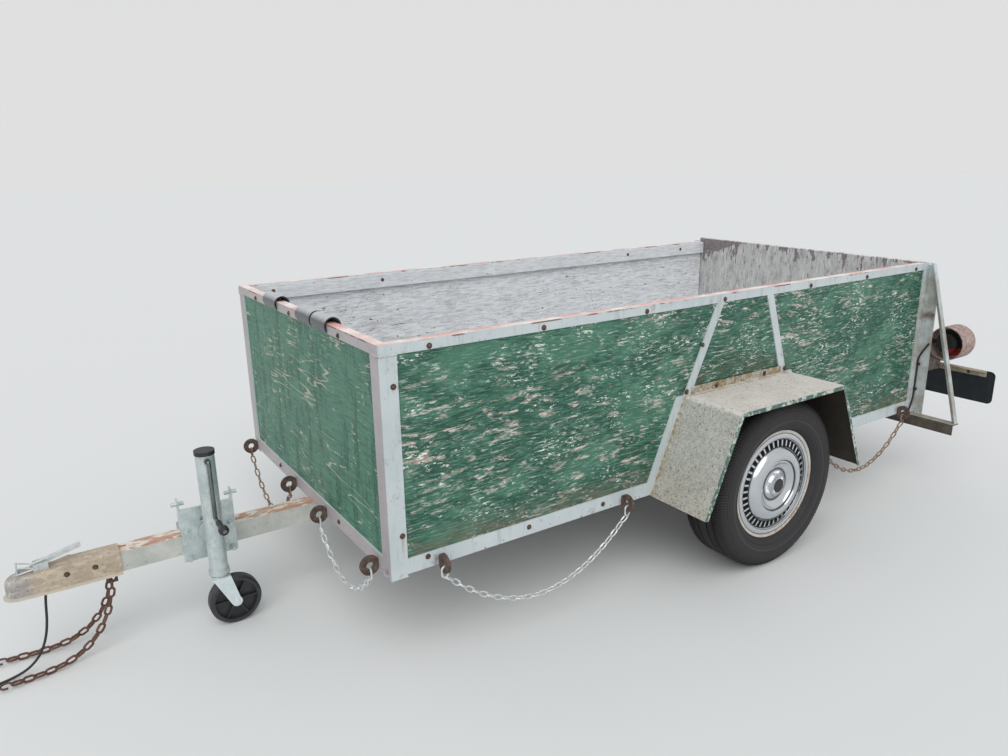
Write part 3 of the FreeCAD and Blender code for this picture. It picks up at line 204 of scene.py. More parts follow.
def chalky_white_enamel():
    """Enamel on steel, brushed: satin, off-white gone chalky, primer on top, rust at edges and rings, and
    painted shade in purplish grey on faces that look forward near the front.
    """
    made, tree, place = finish("chalky_white_enamel_on_steel", IOR=1.5)
    x, y, z = add(tree, "SeparateXYZ", {0: place}).node.outputs
    ahead, _, up = add(tree, "SeparateXYZ", {0: add(tree, "TexCoord", out="Normal")}).node.outputs
    wide = add(tree, "Math", {0: y}, operation="ABSOLUTE")
    cloudy = patches(tree, place, 170, 0.5, 0.2)
    # Painted shade: faces that look forward, within 0.3 m of the front, are coloured a darker purplish grey.
    faces_ahead = beyond(tree, ahead, -0.4, -0.7)
    shaded_front = shared(tree, faces_ahead, beyond(tree, x, bed_front + 0.3, bed_front + 0.1))
    mauve_shade = coats(tree, "#A39C9E", (cloudy, "#B4ADAE"))
    drips = patches(tree, place, 14, 0.6, 0.08, 3, (1, 1, 8))
    grime = patches(tree, place, 38, 0.68, 0.07, 8)
    small = patches(tree, place, 9, 0.68, 0.03, 27)
    colour = coats(tree, "#B9C3C5", (cloudy, "#C9D1D2"), (shaded_front, mauve_shade))
    colour = coats(tree, colour, (drips, "#A0A6A6", 0.5), (grime, "#948D84", 0.8))
    colour = coats(tree, colour, (small, "#7F756F", 0.7))
    # Painted shade: below the top rail, the rear posts' sides and the corner with the outrigger are darkened
    # to brown-grey in patches, where that corner is shaded.
    behind = beyond(tree, x, bed_rear - 0.06, bed_rear - 0.04)
    below_rail = beyond(tree, z, bed_top - 0.045, bed_top - 0.07)
    patchy = shared(tree, behind, below_rail, patches(tree, place, 60, 0.47, 0.12, 13), 0.75)
    colour = coats(tree, colour, (patchy, "#9B9284"))
    on_top = shared(tree, beyond(tree, z, bed_top - 0.004, bed_top - 0.001), beyond(tree, up, 0.6, 0.9))
    front_rail = beyond(tree, x, bed_front + 0.042, bed_front + 0.036)
    inner_edge = beyond(tree, wide, half_width - 0.01, half_width - 0.017)
    mostly_pink = any_of(tree, front_rail, inner_edge)
    rubbed = patches(tree, place, 34, 0.49, 0.1, 5, (3, 3, 1))
    pink = coats(tree, "#F0E6E1", (rubbed, "#DDA298"))
    pale = coats(tree, "#ECE8E4", (rubbed, "#E5BDB4"))
    colour = coats(tree, colour, (on_top, coats(tree, pale, (mostly_pink, pink))))
    arris = shared(tree, beyond(tree, z, bed_top - 0.0052, bed_top - 0.0036), beyond(tree, up, 0.5, 0.3))
    scraped = patches(tree, place, 60, 0.54, 0.02, 28, (3, 3, 1), detail=8.0)
    colour = coats(tree, colour, (shared(tree, arris, scraped), "#6D4A44", 0.85))
    skirt = beyond(tree, z, rail_low.z + 0.02, rail_low.z + 0.004)
    chips = shared(tree, specks(tree, place, 15, 3.2, 0.5), skirt)
    spots = specks(tree, place, 34, 2.4, 0.25)
    rust = any_of(tree, spots, chips)
    folded = add(tree, "CombineXYZ", {0: x, 1: wide, 2: z})
    ragged = add(tree, "TexNoise", {"Vector": place, "Scale": per_mm(26), "Detail": 5.0})
    for spot, radius in rusty_places:
        away = add(tree, "VectorMath", {0: folded, 1: spot}, out=1, operation="DISTANCE")
        wander = add(tree, "MapRange", {"Value": ragged, "To Min": -0.7 * radius, "To Max": 0.7 * radius})
        edge = add(tree, "Math", {0: away, 1: wander}, operation="ADD")
        stain = shared(tree, beyond(tree, edge, 1.15 * radius, 0.6 * radius), 0.85)
        rust = any_of(tree, rust, stain)
    brown = coats(tree, "#51403A", (patches(tree, place, 12, 0.5, 0.1, 17), "#705649"))
    colour = coats(tree, colour, (rust, brown))
    for setback, height, length in bled_runs:
        near = beyond(tree, apart(tree, x, bed_front + setback), 0.006, 0.002)
        below = beyond(tree, z, height - length, height)
        run = shared(tree, near, below, beyond(tree, z, height + 0.004, height))
        colour = coats(tree, colour, (run, "#A87F5C", 0.6))
    brushed = add(tree, "TexNoise", {"Vector": place, "Scale": per_mm(5), "Detail": 4.0})
    dents = add(tree, "Math", {0: brushed, 1: rust}, operation="ADD")
    return surfaced(made, colour, dents, 0.0006, 0.5, (rust, 0.46, 0.85))


enamel = chalky_white_enamel()
rails = ("bottom_side_rails", "front_bottom_rail", "floor_crossmembers")
dress(rails + ("front_posts", "lamp_braces", "fender_braces"), enamel)

# Top rails: light angle, 28 mm by 28 mm, laid over the panels' top edges.  Its skirt runs between the corner
# posts, its flange over them, and the fender braces are welded up under the skirt.


def lofted(rings, loop=False):
    """Rings of as many points each, skinned one to the next, round to the first or closed at both ends."""
    count = len(rings[0])
    points = [point for ring in rings for point in ring]
    faces = []
    for k in range(len(rings) if loop else len(rings) - 1):
        a, b = k * count, (k + 1) % len(rings) * count
        faces += [[a + i, a + (i + 1) % count, b + (i + 1) % count, b + i] for i in range(count)]
    if not loop:
        faces += [list(range(count)), list(range(len(points) - count, len(points)))]
    return points, faces


def joined(parts):
    """One list of points and one of faces from several."""
    points, faces = [], []
    for more_points, more_faces in parts:
        base = len(points)
        points += more_points
        faces += [[base + i for i in face] for face in more_faces]
    return points, faces


def piece(name, shape, body, made, stands_for=(), pockets=()):
    """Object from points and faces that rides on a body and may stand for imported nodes.

    Where pockets are given, those faces take the second of the two finishes in made."""
    mesh = bpy.data.meshes.new(name)
    mesh.from_pydata([tuple(p) for p in shape[0]], [], shape[1])
    for material in made if pockets else [made]:
        mesh.materials.append(material)
    for k in pockets:
        mesh.polygons[k].material_index = 1
    shell = bmesh.new()
    shell.from_mesh(mesh)
    bmesh.ops.recalc_face_normals(shell, faces=shell.faces)
    shell.to_mesh(mesh)
    shell.free()
    mesh.shade_smooth()
    mesh.set_sharp_from_angle(angle=math.radians(38))
    thing = bpy.data.objects.new(name, mesh)
    bpy.context.scene.collection.objects.link(thing)
    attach(thing, body)
    if stands_for:
        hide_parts(*stands_for)
    return thing


def slab(low, high):
    """Box between two opposite corners."""
    (x, y, z), (far_x, far_y, far_z) = low, high
    outline = ((y, z), (far_y, z), (far_y, far_z), (y, far_z))
    return lofted([[Vector((end, b, c)) for b, c in outline] for end in (x, far_x)])


rail_wall = 0.0048
post_leg = 0.05
flange_base, skirt_base = bed_top - rail_wall, bed_top - top_rail_leg
flange_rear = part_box("top_side_rails")[1].x
rear_side_leg = 0.035
post_rear, post_front = bed_front + post_leg, bed_rear - rear_side_leg
inner_y, skirt_y = half_width - top_rail_leg, half_width - post_leg
bars = [slab((bed_front, -inner_y, flange_base), (bed_front + top_rail_leg, inner_y, bed_top))]
bars.append(slab((bed_front, -skirt_y, skirt_base), (bed_front + rail_wall, skirt_y, flange_base)))

# Each brace leans in from the fender's corner by so much up to its solid's head, and goes on as steeply.
axle_x = sum(corner.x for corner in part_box("left_tyre")) / 2
fender_half_top = 0.255
fender_top = 0.5974
brace_bar = 0.032
brace_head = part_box("fender_braces")[1].z
brace_leans = ((-1, 0.128), (1, 0.096))
for side in (-1, 1):
    outer, inner, face = side * half_width, side * inner_y, side * (half_width - rail_wall)
    bars.append(slab((bed_front, outer, flange_base), (post_front, inner, bed_top)))
    bars.append(slab((post_front, face, flange_base), (flange_rear, inner, bed_top)))
    bars.append(slab((post_rear, outer, skirt_base), (post_front, face, flange_base)))
    for end, lean in brace_leans:
        rings = []
        for z in (brace_head, skirt_base):
            corner = axle_x + end * (fender_half_top - lean * (z - fender_top) / (brace_head - fender_top))
            bar = (corner, corner - end * brace_bar)
            foot = zip(bar + bar[::-1], (outer, outer, face, face))
            rings.append([Vector((x, y, z)) for x, y in foot])
        bars.append(lofted(rings))
piece("top_rails", joined(bars), "trailer", enamel, ("top_side_rails", "front_top_rail"))

# Rear uprights: angle of 35 mm by 50 mm at each rear corner, and outside it a light angle whose wide flange,
# cut away at its outer top corner, takes the lamp.  The bottom rail's face runs up to them.

lamp_leg = 0.025
flange_reach = half_width + 0.05
cut_across, cut_down = 0.019, 0.12
post_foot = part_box("rear_posts")[0].z
lamp_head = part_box("lamp_posts")[1].z
back = bed_rear - rail_wall
bars = []
for side in (-1, 1):
    outer, face, reach = side * half_width, side * (half_width - rail_wall), side * flange_reach
    bars.append(slab((post_front, outer, post_foot), (bed_rear, face, bed_top)))
    bars.append(slab((back, face, post_foot), (bed_rear, side * skirt_y, bed_top)))
    bars.append(slab((bed_rear - post_leg, outer, rail_low.z), (post_front, face, rail_high.z)))
    leg_face = side * (half_width + rail_wall)
    bars.append(slab((bed_rear - lamp_leg, leg_face, post_foot), (back, outer, lamp_head)))
    outline = ((outer, post_foot), (reach, post_foot), (reach, lamp_head - cut_down))
    outline += ((reach - side * cut_across, lamp_head), (outer, lamp_head))
    bars.append(lofted([[Vector((x, y, z)) for y, z in outline] for x in (back, bed_rear)]))
piece("rear_uprights", joined(bars), "trailer", enamel, ("rear_posts", "lamp_posts"))

# Frame bolts and welds: round-headed bolts through the panels, long since rusted brown, and the painted
# weld bead where the top rails meet the front posts.


def square_to(axis):
    """The axis at unit length and two directions square to it and to each other."""
    axis = Vector(axis).normalized()
    side = axis.orthogonal().normalized()
    return axis, side, axis.cross(side)


def stacked(profile, centre, axis, sides):
    """Solid of circles of (radius, distance along the axis), flat at both ends."""
    axis, side, other = square_to(axis)
    turns = [2 * math.pi * k / sides for k in range(sides)]
    spokes = [side * math.cos(t) + other * math.sin(t) for t in turns]
    return lofted([[Vector(centre) + axis * s + spoke * r for spoke in spokes] for r, s in profile])


def bolt(centre, out, radius=0.0059, height=0.0045):
    """Round head on its washer."""
    washer = [(1.35 * radius, -0.0005), (1.35 * radius, 0.0011), (radius, 0.0013)]
    head = [(radius * math.cos(a), 0.0013 + height * math.sin(a)) for a in (0.0, 0.45, 0.9, 1.3)]
    return stacked(washer + head, centre, out, 12)


def bead(start, end, radius, step, jitter, seed=1):
    """Weld metal laid from one point to another as overlapping or spaced drops."""
    draw = random.Random(seed)
    start, end = Vector(start), Vector(end)
    count = max(1, round((end - start).length / step))
    drops = []
    for k in range(count + 1):
        shift = Vector([draw.uniform(-jitter, jitter) for _ in range(3)])
        size = radius * draw.uniform(0.75, 1.25)
        angles = [math.radians(a) for a in (-80, -50, -20, 20, 50, 80)]
        ball = [(size * math.cos(a), size * math.sin(a)) for a in angles]
        drops.append(stacked(ball, start.lerp(end, k / count) + shift, (0.2, 0.3, 1), 8))
    return joined(drops)


def scaly_rust(name, dark, light, bloom):
    """Old rust on mild steel: matt, rough and pitted, brown with orange blooms."""
    made, tree, place = finish(name, Roughness=0.88, IOR=1.5)
    broad = patches(tree, place, 22, 0.5, 0.16)
    blooms = patches(tree, place, 9, 0.6, 0.06, 4)
    pits = add(tree, "TexNoise", {"Vector": place, "Scale": per_mm(3), "Detail": 5.0})
    return surfaced(made, coats(tree, dark, (broad, light), (blooms, bloom)), pits, 0.001, 0.8)


rust = scaly_rust("scaly_rust_on_steel", "#3E302B", "#5F483D", "#7F5C48")

# Setbacks from the bed's front and heights, in metres, of the round heads on the rails and posts.
side_bolts = ((0.14, 0.893), (0.495, 0.893), (0.879, 0.893), (1.222, 0.893), (1.667, 0.893), (2.006, 0.893))
side_bolts += ((2.34, 0.893), (0.036, 0.804), (0.038, 0.399), (0.109, 0.318), (0.44, 0.309), (0.72, 0.306))
side_bolts += ((1.9, 0.306),)
front_bolts = ((0.399, 0.893), (0.047, 0.893), (-0.357, 0.893), (0.3, 0.306), (-0.25, 0.306))
heads = [bolt((bed_front, y, z), (-1, 0, 0)) for y, z in front_bolts]
for side in (-1, 1):
    heads += [bolt((bed_front + x, side * half_width, z), (0, side, 0)) for x, z in side_bolts]
piece("frame_bolts", joined(heads), "trailer", rust)

# The beads run inward, back and up from each front corner, and stand half a millimetre proud.
seam = bed_top - top_rail_leg
proud = 0.0005
bead_size, drop_step, jitter = 0.0026, 0.003, 0.0006
upright_size, upright_jitter = 0.0022, 0.0005
weld_inset, weld_head = 0.038, 0.006
beads = []
for side in (-1, 1):
    x, y = bed_front - proud, side * (half_width + proud)
    corner = (x, y, seam)
    inward = (x, side * (half_width - weld_inset), seam)
    beads.append(bead(corner, inward, bead_size, drop_step, jitter))
    beads.append(bead(corner, (post_rear, y, seam), bead_size, drop_step, jitter))
    beads.append(bead(corner, (x, y, bed_top - weld_head), upright_size, drop_step, upright_jitter))
piece("corner_welds", joined(beads), "trailer", enamel)

# Plywood box: 15 mm sheathing panels painted green outside only, with a 1x2 board along the top inside.
# The brushed paint has let go along the grain, so grey-tan wood and cream undercoat show in streaks;
# inside, the bare wood has silvered, with dark checks, knots and nail heads.


def grain_lines(tree, place, lies_flat=False):
    """Place on a board with its grain level, along x or y, and wandering 20 mm in height."""
    x, y, z = add(tree, "SeparateXYZ", {0: place}).node.outputs
    across, high = (z, y) if lies_flat else (y, z)
    along = add(tree, "Math", {0: x, 1: across}, operation="ADD")
    slow = add(tree, "TexNoise", {"Vector": place, "Scale": per_mm(480), "Detail": 1.0})
    lift = add(tree, "MapRange", {"Value": slow, "To Min": -0.02, "To Max": 0.02})
    level = add(tree, "Math", {0: high, 1: lift}, operation="ADD")
    return add(tree, "CombineXYZ", {0: along, 1: 0.0, 2: level})


def silvered(tree, grain, place):
    """Colour and relief of bare plywood gone grey: fine level lines, dark checks, nail heads and stains."""
    broad = patches(tree, grain, 70, 0.5, 0.2, 20, 5)
    fine = patches(tree, grain, 4.5, 0.54, 0.09, 21, 12)
    rough = patches(tree, grain, 10, 0.58, 0.07, 23, 6)
    checks = patches(tree, grain, 9, 0.665, 0.012, 22, 3.5)
    pecks = patches(tree, place, 7, 0.665, 0.015, 26)
    stains = patches(tree, place, 55, 0.62, 0.08, 24)
    nails = specks(tree, place, 52, 3.4, 0.4)
    knots = specks(tree, grain, 150, 7, 0.3)
    dark = any_of(tree, checks, nails)
    colour = coats(tree, "#E0E4E7", (broad, "#ECEEF0"), (fine, "#ABAFB4", 0.7))
    colour = coats(tree, colour, (rough, "#F6F7F7", 0.6), (stains, "#A39B95", 0.35))
    colour = coats(tree, colour, (pecks, "#6B6764", 0.6), (knots, "#7D756F", 0.8))
    colour = coats(tree, colour, (dark, "#4A4644"))
    return colour, add(tree, "Math", {0: fine, 1: dark}, operation="ADD")


def painted_plywood(name, painted_face):
    """Plywood panel: silvered inside, and outside as the function given paints it."""
    made, tree, place = finish(name, IOR=1.5)
    grain = grain_lines(tree, place)
    outside, paint, bare = painted_face(tree, grain, place)
    wood, lines = silvered(tree, grain, place)
    held = add(tree, "MapRange", {"Value": bare, "To Min": 0.52, "To Max": 0.85})
    strokes = patches(tree, grain, 4, 0.5, 0.2, 6, 16)
    skin = add(tree, "Math", {0: strokes, 1: bare}, operation="SUBTRACT")
    sunk = add(tree, "Math", {0: lines, 1: -1.0}, operation="MULTIPLY")
    relief = add(tree, "Mix", {0: outside, 2: sunk, 3: skin}, data_type="FLOAT")
    return surfaced(made, coats(tree, wood, (outside, paint)), relief, 0.0007, 0.6, (outside, 0.86, held))


def side_green(tree, grain, place):
    """Deep green, streaked darker along the grain, milky where it has chalked, bare in ragged clusters."""
    x, y, z = add(tree, "SeparateXYZ", {0: place}).node.outputs
    wide = add(tree, "Math", {0: y}, operation="ABSOLUTE")
    outside = add(tree, "Math", {0: wide, 1: half_width - 0.0125}, operation="GREATER_THAN")
    tone = patches(tree, grain, 50, 0.5, 0.1, 0, 4)
    dark_lines = patches(tree, grain, 5, 0.5, 0.06, 6, 7)
    light_lines = patches(tree, grain, 5, 0.565, 0.05, 7, 8)
    milky = patches(tree, grain, 120, 0.55, 0.05, 2, 2)
    colour = coats(tree, "#1F5945", (tone, "#326B57"), (dark_lines, "#154135", 0.85))
    colour = coats(tree, colour, (milky, "#52846D", 0.55), (light_lines, "#7CA592", 0.45))
    worn = patches(tree, grain, 140, 0.49, 0.05, 9, 1.8)
    shreds = patches(tree, grain, 17, 0.575, 0.03, 11, 3.6, detail=9.0)
    strands = patches(tree, grain, 5.5, 0.43, 0.04, 25, 6)
    bare = shared(tree, worn, shreds, strands)
    wood = coats(tree, "#9D8F84", (patches(tree, grain, 4.5, 0.5, 0.08, 12, 5), "#DAD2C8"))
    split_here = patches(tree, grain, 110, 0.52, 0.04, 8, 2)
    splits = shared(tree, patches(tree, grain, 6, 0.6, 0.015, 14, 7), split_here)
    flaked_here = patches(tree, grain, 85, 0.55, 0.05, 17, 1.8)
    flakes = shared(tree, patches(tree, grain, 5, 0.595, 0.02, 15, 3, detail=5.0), flaked_here)
    flakes = any_of(tree, flakes, patches(tree, grain, 14, 0.7, 0.01, 29, 2, detail=8.0))
    gouges = patches(tree, grain, 16, 0.705, 0.015, 16, 2.5)
    colour = coats(tree, colour, (bare, wood, 0.9), (splits, "#C9D1C3", 0.85))
    colour = coats(tree, colour, (flakes, "#EFF2EA", 0.9), (gouges, "#1C3029"))
    low = beyond(tree, z, rail_high.z + 0.075, rail_high.z - 0.005)
    soil = shared(tree, low, patches(tree, place, 26, 0.47, 0.14, 18, 2), 0.75)
    near_wheel = beyond(tree, apart(tree, x, axle_x + 0.014), 0.3, 0.2)
    spray = shared(tree, beyond(tree, z, 0.72, 0.62), patches(tree, place, 30, 0.52, 0.12, 19))
    splash = shared(tree, near_wheel, spray, 0.7)
    colour = coats(tree, colour, (soil, "#6E6350"), (splash, "#5A4C3A"))
    return outside, colour, any_of(tree, bare, flakes, splits)


def front_green(tree, grain, place):
    """Paler, smoother green, rubbed dark in upright bands, with thin cream cracks along the grain."""
    x = add(tree, "SeparateXYZ", {0: place})
    outside = add(tree, "Math", {0: x, 1: bed_front + 0.0125}, operation="LESS_THAN")
    tone = patches(tree, grain, 60, 0.5, 0.2, 30, 3)
    dark_lines = patches(tree, grain, 6, 0.56, 0.06, 31, 9)
    rubs = patches(tree, place, 40, 0.54, 0.04, 32, (1, 1, 5))
    gritty = shared(tree, rubs, patches(tree, place, 10, 0.48, 0.06, 33))
    colour = coats(tree, "#41735E", (tone, "#50846D"), (dark_lines, "#295A49", 0.8))
    colour = coats(tree, colour, (rubs, "#34695A", 0.4), (gritty, "#204F3F", 0.9))
    long_waves = (per_mm(360), 1.0, per_mm(44))
    spread = add(tree, "Mapping", {"Vector": grain, "Scale": long_waves, "Location": (0.4, 0, 0.7)})
    crests = add(tree, "TexNoise", {"Vector": spread, "Scale": 1.0, "Detail": 2.0, "Roughness": 0.4})
    crack = beyond(tree, apart(tree, crests, 0.5), 0.014, 0.006)
    broken = patches(tree, grain, 120, 0.535, 0.03, 36, 2)
    nibbled = patches(tree, place, 5, 0.4, 0.05, 35)
    cracks = shared(tree, crack, broken, nibbled)
    shreds = patches(tree, grain, 10, 0.605, 0.03, 37, 4, detail=9.0)
    bare = shared(tree, shreds, patches(tree, place, 110, 0.54, 0.06, 38, (1, 1, 2)))
    cream = coats(tree, "#B3AB9B", (patches(tree, grain, 8, 0.5, 0.15, 39), "#D5D0C0"))
    gone = any_of(tree, cracks, bare)
    colour = coats(tree, colour, (gone, cream, 0.85))
    return outside, colour, gone


def weathered_board(name, wash, strength, dirt, lies_flat=False):
    """Bare plywood or pine gone silver, matt, washed over with a tint and stained."""
    made, tree, place = finish(name, Roughness=0.88, IOR=1.45)
    colour, relief = silvered(tree, grain_lines(tree, place, lies_flat), place)
    dirty = patches(tree, place, 90, 0.5, 0.15, 44)
    colour = coats(tree, colour, (strength, wash), (shared(tree, dirty, dirt), "#6A6057"))
    return surfaced(made, colour, relief, -0.0007, 0.6)


dress(("left_panel", "right_panel"), painted_plywood("peeling_deep_green_paint_on_plywood", side_green))
dress(("front_panel",), painted_plywood("faded_green_paint_on_plywood", front_green))
dress(("inner_boards",), weathered_board("silvered_pine_board", "#DFE3E6", 0.4, 0.1))
dress(("floor_panel",), weathered_board("dirty_plywood_floor", "#A59C92", 0.45, 0.55, lies_flat=True))

# Splits in the far panel: an old crack that runs down across the grain, and a short one along it.
# Each is a dark gap about 2 mm wide, given as setbacks from the bed's front and heights in metres.
inner_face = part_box("right_panel")[0].y
steep_split = ((0.502, 0.853), (0.478, 0.82), (0.47, 0.815), (0.448, 0.785), (0.43, 0.772), (0.41, 0.742))
steep_split += ((0.387, 0.719),)
level_split = ((0.578, 0.694), (0.6, 0.69), (0.632, 0.692), (0.652, 0.689), (0.66, 0.7))
split_width = 0.002
split_depth = 0.0004
gaps = []
for line in (steep_split, level_split):
    rings = []
    for k, (x, z) in enumerate(line):
        w = split_width * (0.3 if k in (0, len(line) - 1) else 1.0) / 2
        near, far = inner_face - split_depth, inner_face + split_depth
        corners = ((-w, near, -w), (w, near, w), (w, far, w), (-w, far, -w))
        rings.append([Vector((bed_front + x + a, y, z + c)) for a, y, c in corners])
    gaps.append(lofted(rings))
shadowed_wood = scaly_rust("shadowed_split_in_wood", "#3A3532", "#4A4440", "#5A524C")
piece("panel_splits", joined(gaps), "trailer", shadowed_wood)

# Round heads through the 18 mm boards, as setbacks from the bed's front.
board_face = inner_face - 0.018
board_bolts = (0.114, 0.556, 1.873, 2.235)
board_bolt_height = 0.885
heads = []
for side in (-1, 1):
    spots = [(bed_front + setback, side * board_face, board_bolt_height) for setback in board_bolts]
    heads += [bolt(spot, (0, -side, 0), radius=0.0052, height=0.003) for spot in spots]
piece("board_bolts", joined(heads), "trailer", rust)

# Tailgate: 18 mm plywood board that drops into the slot ahead of the rear posts.  Its face veneer has
# greyed with the grain upright, and rot has eaten and stained the top edge, worst at the far corner.


def rotten_tailgate():
    """Bare plywood, matt grey with dark upright blotches and purple-brown rot below its top edge, and a
    painted highlight in pale patches along that edge.
    """
    made, tree, place = finish("rotting_plywood_board", Roughness=0.9, IOR=1.45)
    x, y, z = add(tree, "SeparateXYZ", {0: place}).node.outputs
    upright = add(tree, "CombineXYZ", {0: z, 1: x, 2: y})
    tone = patches(tree, upright, 42, 0.5, 0.2, 50, 3)
    fine = patches(tree, upright, 4.5, 0.54, 0.1, 51, 9)
    blotches = patches(tree, upright, 9, 0.645, 0.03, 52, 3.2)
    stains = patches(tree, upright, 36, 0.57, 0.06, 53, 1.6)
    colour = coats(tree, "#C3C5C4", (tone, "#D9D9D7"), (fine, "#A19E9F", 0.65))
    colour = coats(tree, colour, (stains, "#8F898A", 0.45))
    colour = coats(tree, colour, (blotches, "#716869"))
    sag = {"Value": y, "From Min": gate_low.y, "From Max": gate_high.y, "To Min": near_sag, "To Max": 0.0}
    level = add(tree, "Math", {0: z, 1: add(tree, "MapRange", sag)}, operation="ADD")
    narrow = add(tree, "Mapping", {"Vector": upright, "Scale": (per_mm(85), 1.0, per_mm(24))})
    ragged = add(tree, "TexNoise", {"Vector": narrow, "Scale": 1.0, "Detail": 7.0, "Roughness": 0.62})
    far = add(tree, "MapRange", {"Value": y, "From Min": 0.3, "From Max": 0.48, "To Max": 0.075})
    depth = {"Value": ragged, "From Min": 0.46, "From Max": 0.7, "To Min": -0.006, "To Max": 0.104}
    reach = add(tree, "Math", {0: far, 1: add(tree, "MapRange", depth)}, operation="ADD")
    raised = add(tree, "Math", {0: level, 1: reach}, operation="ADD")
    rot = beyond(tree, raised, gate_high.z, gate_high.z + 0.008)
    brown = coats(tree, "#6D6063", (patches(tree, upright, 9, 0.55, 0.1, 54), "#918488"))
    # Painted highlight: pale patches along the rounded top edge, where it catches the light.
    rim = beyond(tree, level, gate_high.z - 0.006, gate_high.z - 0.003)
    top_edge_highlight = shared(tree, rim, patches(tree, place, 20, 0.46, 0.08, 55))
    colour = coats(tree, colour, (rot, brown, 0.85), (top_edge_highlight, "#DCD8D2"))
    holes = add(tree, "Math", {0: blotches, 1: fine}, operation="ADD")
    holes = add(tree, "Math", {0: holes, 1: rot}, operation="ADD")
    return surfaced(made, colour, holes, -0.001, 0.7)


gate_low, gate_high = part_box("tailgate")
eaten = 0.0055
near_sag = 0.017
rounding = 0.0025
columns = 360
# A row of points part of the way up keeps the board's long faces even.
row_height = 0.6
waves = random.Random(7)
ripples = [(waves.uniform(6, 160), waves.uniform(0, 6.3), waves.uniform(0.4, 1.0)) for _ in range(14)]
rings = []
for k in range(columns + 1):
    y = gate_low.y + (gate_high.y - gate_low.y) * k / columns
    bite = sum(size * math.sin(rate * y + start) for rate, start, size in ripples) / len(ripples)
    top = gate_high.z - eaten * (0.5 - bite) - near_sag * (1 - k / columns)
    outline = ((gate_low.x, gate_low.z), (gate_low.x, row_height), (gate_low.x, top - rounding))
    outline += ((gate_low.x + rounding, top), (gate_high.x - rounding, top))
    outline += ((gate_high.x, top - rounding), (gate_high.x, gate_low.z))
    rings.append([Vector((x, y, z)) for x, z in outline])
piece("tailgate_board", lofted(rings), "tailgate_board", rotten_tailgate(), ("tailgate",))

# Fenders: 2.5 mm sheet bent to a trapezoid, bolted and tack-welded to the box along its inner edge.  The
# pale primer is freckled with rust, the tacks have bled yellow, and green paint is left on the outer lip.

fender_low, fender_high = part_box("left_fender")
wheel_low, wheel_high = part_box("left_tyre")
wheel_centre = (wheel_low + wheel_high) / 2


def facing_up(tree):
    """How squarely the surface looks up: 1 straight up, -1 straight down."""
    return add(tree, "SeparateXYZ", {0: add(tree, "TexCoord", out="Normal")}, out="Z")


def freckled_primer():
    """Thin primer brushed on sheet steel: dull, pale grey-green on the slopes and beige on top, the top's
    lightness partly the primer's tone and partly painted light from above.
    """
    made, tree, place = finish("freckled_primer_on_sheet_steel", Roughness=0.58, IOR=1.5)
    x, y, z = add(tree, "SeparateXYZ", {0: place}).node.outputs
    up = facing_up(tree)
    wide = add(tree, "Math", {0: y}, operation="ABSOLUTE")
    cloudy = patches(tree, place, 90, 0.5, 0.18)
    small = patches(tree, place, 16, 0.52, 0.12, 2)
    slope = coats(tree, "#AEB1AB", (cloudy, "#C4C5BE"), (small, "#D2CEC4", 0.5))
    top = coats(tree, "#D3CDC5", (cloudy, "#E4E0D9"), (small, "#C4B8AB", 0.4))
    # The top is paler than the slopes, partly as the primer's own tone and partly as painted light from
    # above.
    flat = beyond(tree, up, 0.7, 0.95)
    colour = coats(tree, slope, (flat, top))
    soiled = add(tree, "MapRange", {"Value": flat, "To Min": 1.0, "To Max": 0.35})
    low = beyond(tree, z, 0.44, 0.3)
    warm = shared(tree, low, patches(tree, place, 70, 0.46, 0.16, 4), 0.6)
    mottled = shared(tree, patches(tree, place, 13, 0.52, 0.1, 33), soiled, 0.4)
    mist = shared(tree, patches(tree, place, 5, 0.56, 0.06, 31), soiled, 0.65)
    fine = patches(tree, place, 6, 0.63, 0.03, 32)
    coarse = specks(tree, place, 22, 4.0, 0.4)
    lowest = shared(tree, specks(tree, place, 12, 3.2, 0.55), low)
    freckles = any_of(tree, fine, coarse, lowest)
    colour = coats(tree, colour, (warm, "#B3A691"), (mottled, "#97928A"), (mist, "#7F7970"))
    colour = coats(tree, colour, (freckles, "#65554A", 0.8))
    scab = shared(tree, patches(tree, place, 34, 0.64, 0.02, 6, detail=9.0), low)
    inner = beyond(tree, wide, half_width + 0.03, half_width + 0.004)
    bled = shared(tree, inner, patches(tree, place, 20, 0.5, 0.09, 7), 0.9)
    colour = coats(tree, colour, (scab, "#7B6E60"), (bled, "#8B7448"))
    fold = beyond(tree, apart(tree, apart(tree, x, axle_x), fender_half_top), 0.009, 0.003)
    fold = shared(tree, fold, beyond(tree, z, fender_top - 0.012, fender_top - 0.005))
    rubbed = patches(tree, place, 22, 0.46, 0.1, 12)
    colour = coats(tree, colour, (shared(tree, fold, rubbed), "#E0DED7", 0.9))
    left_over = patches(tree, place, 10, 0.47, 0.04, 9, (2, 1, 2))
    lip = coats(tree, "#BFC4BB", (left_over, "#4E6C63"))
    outer = add(tree, "Math", {0: wide, 1: -fender_low.y - 0.0035}, operation="GREATER_THAN")
    colour = coats(tree, colour, (outer, lip))
    # Darker where it looks down: the underside is coloured near-black brown in patches.
    under = beyond(tree, up, -0.05, -0.15)
    dark_underside = coats(tree, "#2C2824", (patches(tree, place, 40, 0.5, 0.2, 10), "#3D352D"))
    colour = coats(tree, colour, (under, dark_underside))
    dents = add(tree, "TexNoise", {"Vector": place, "Scale": per_mm(140), "Detail": 2.0})
    buckled = add(tree, "Bump", {"Height": dents, "Distance": 0.004, "Strength": 0.35})
    return surfaced(made, colour, freckles, 0.0006, 0.5, under=buckled)


dress(("left_fender", "right_fender"), freckled_primer())

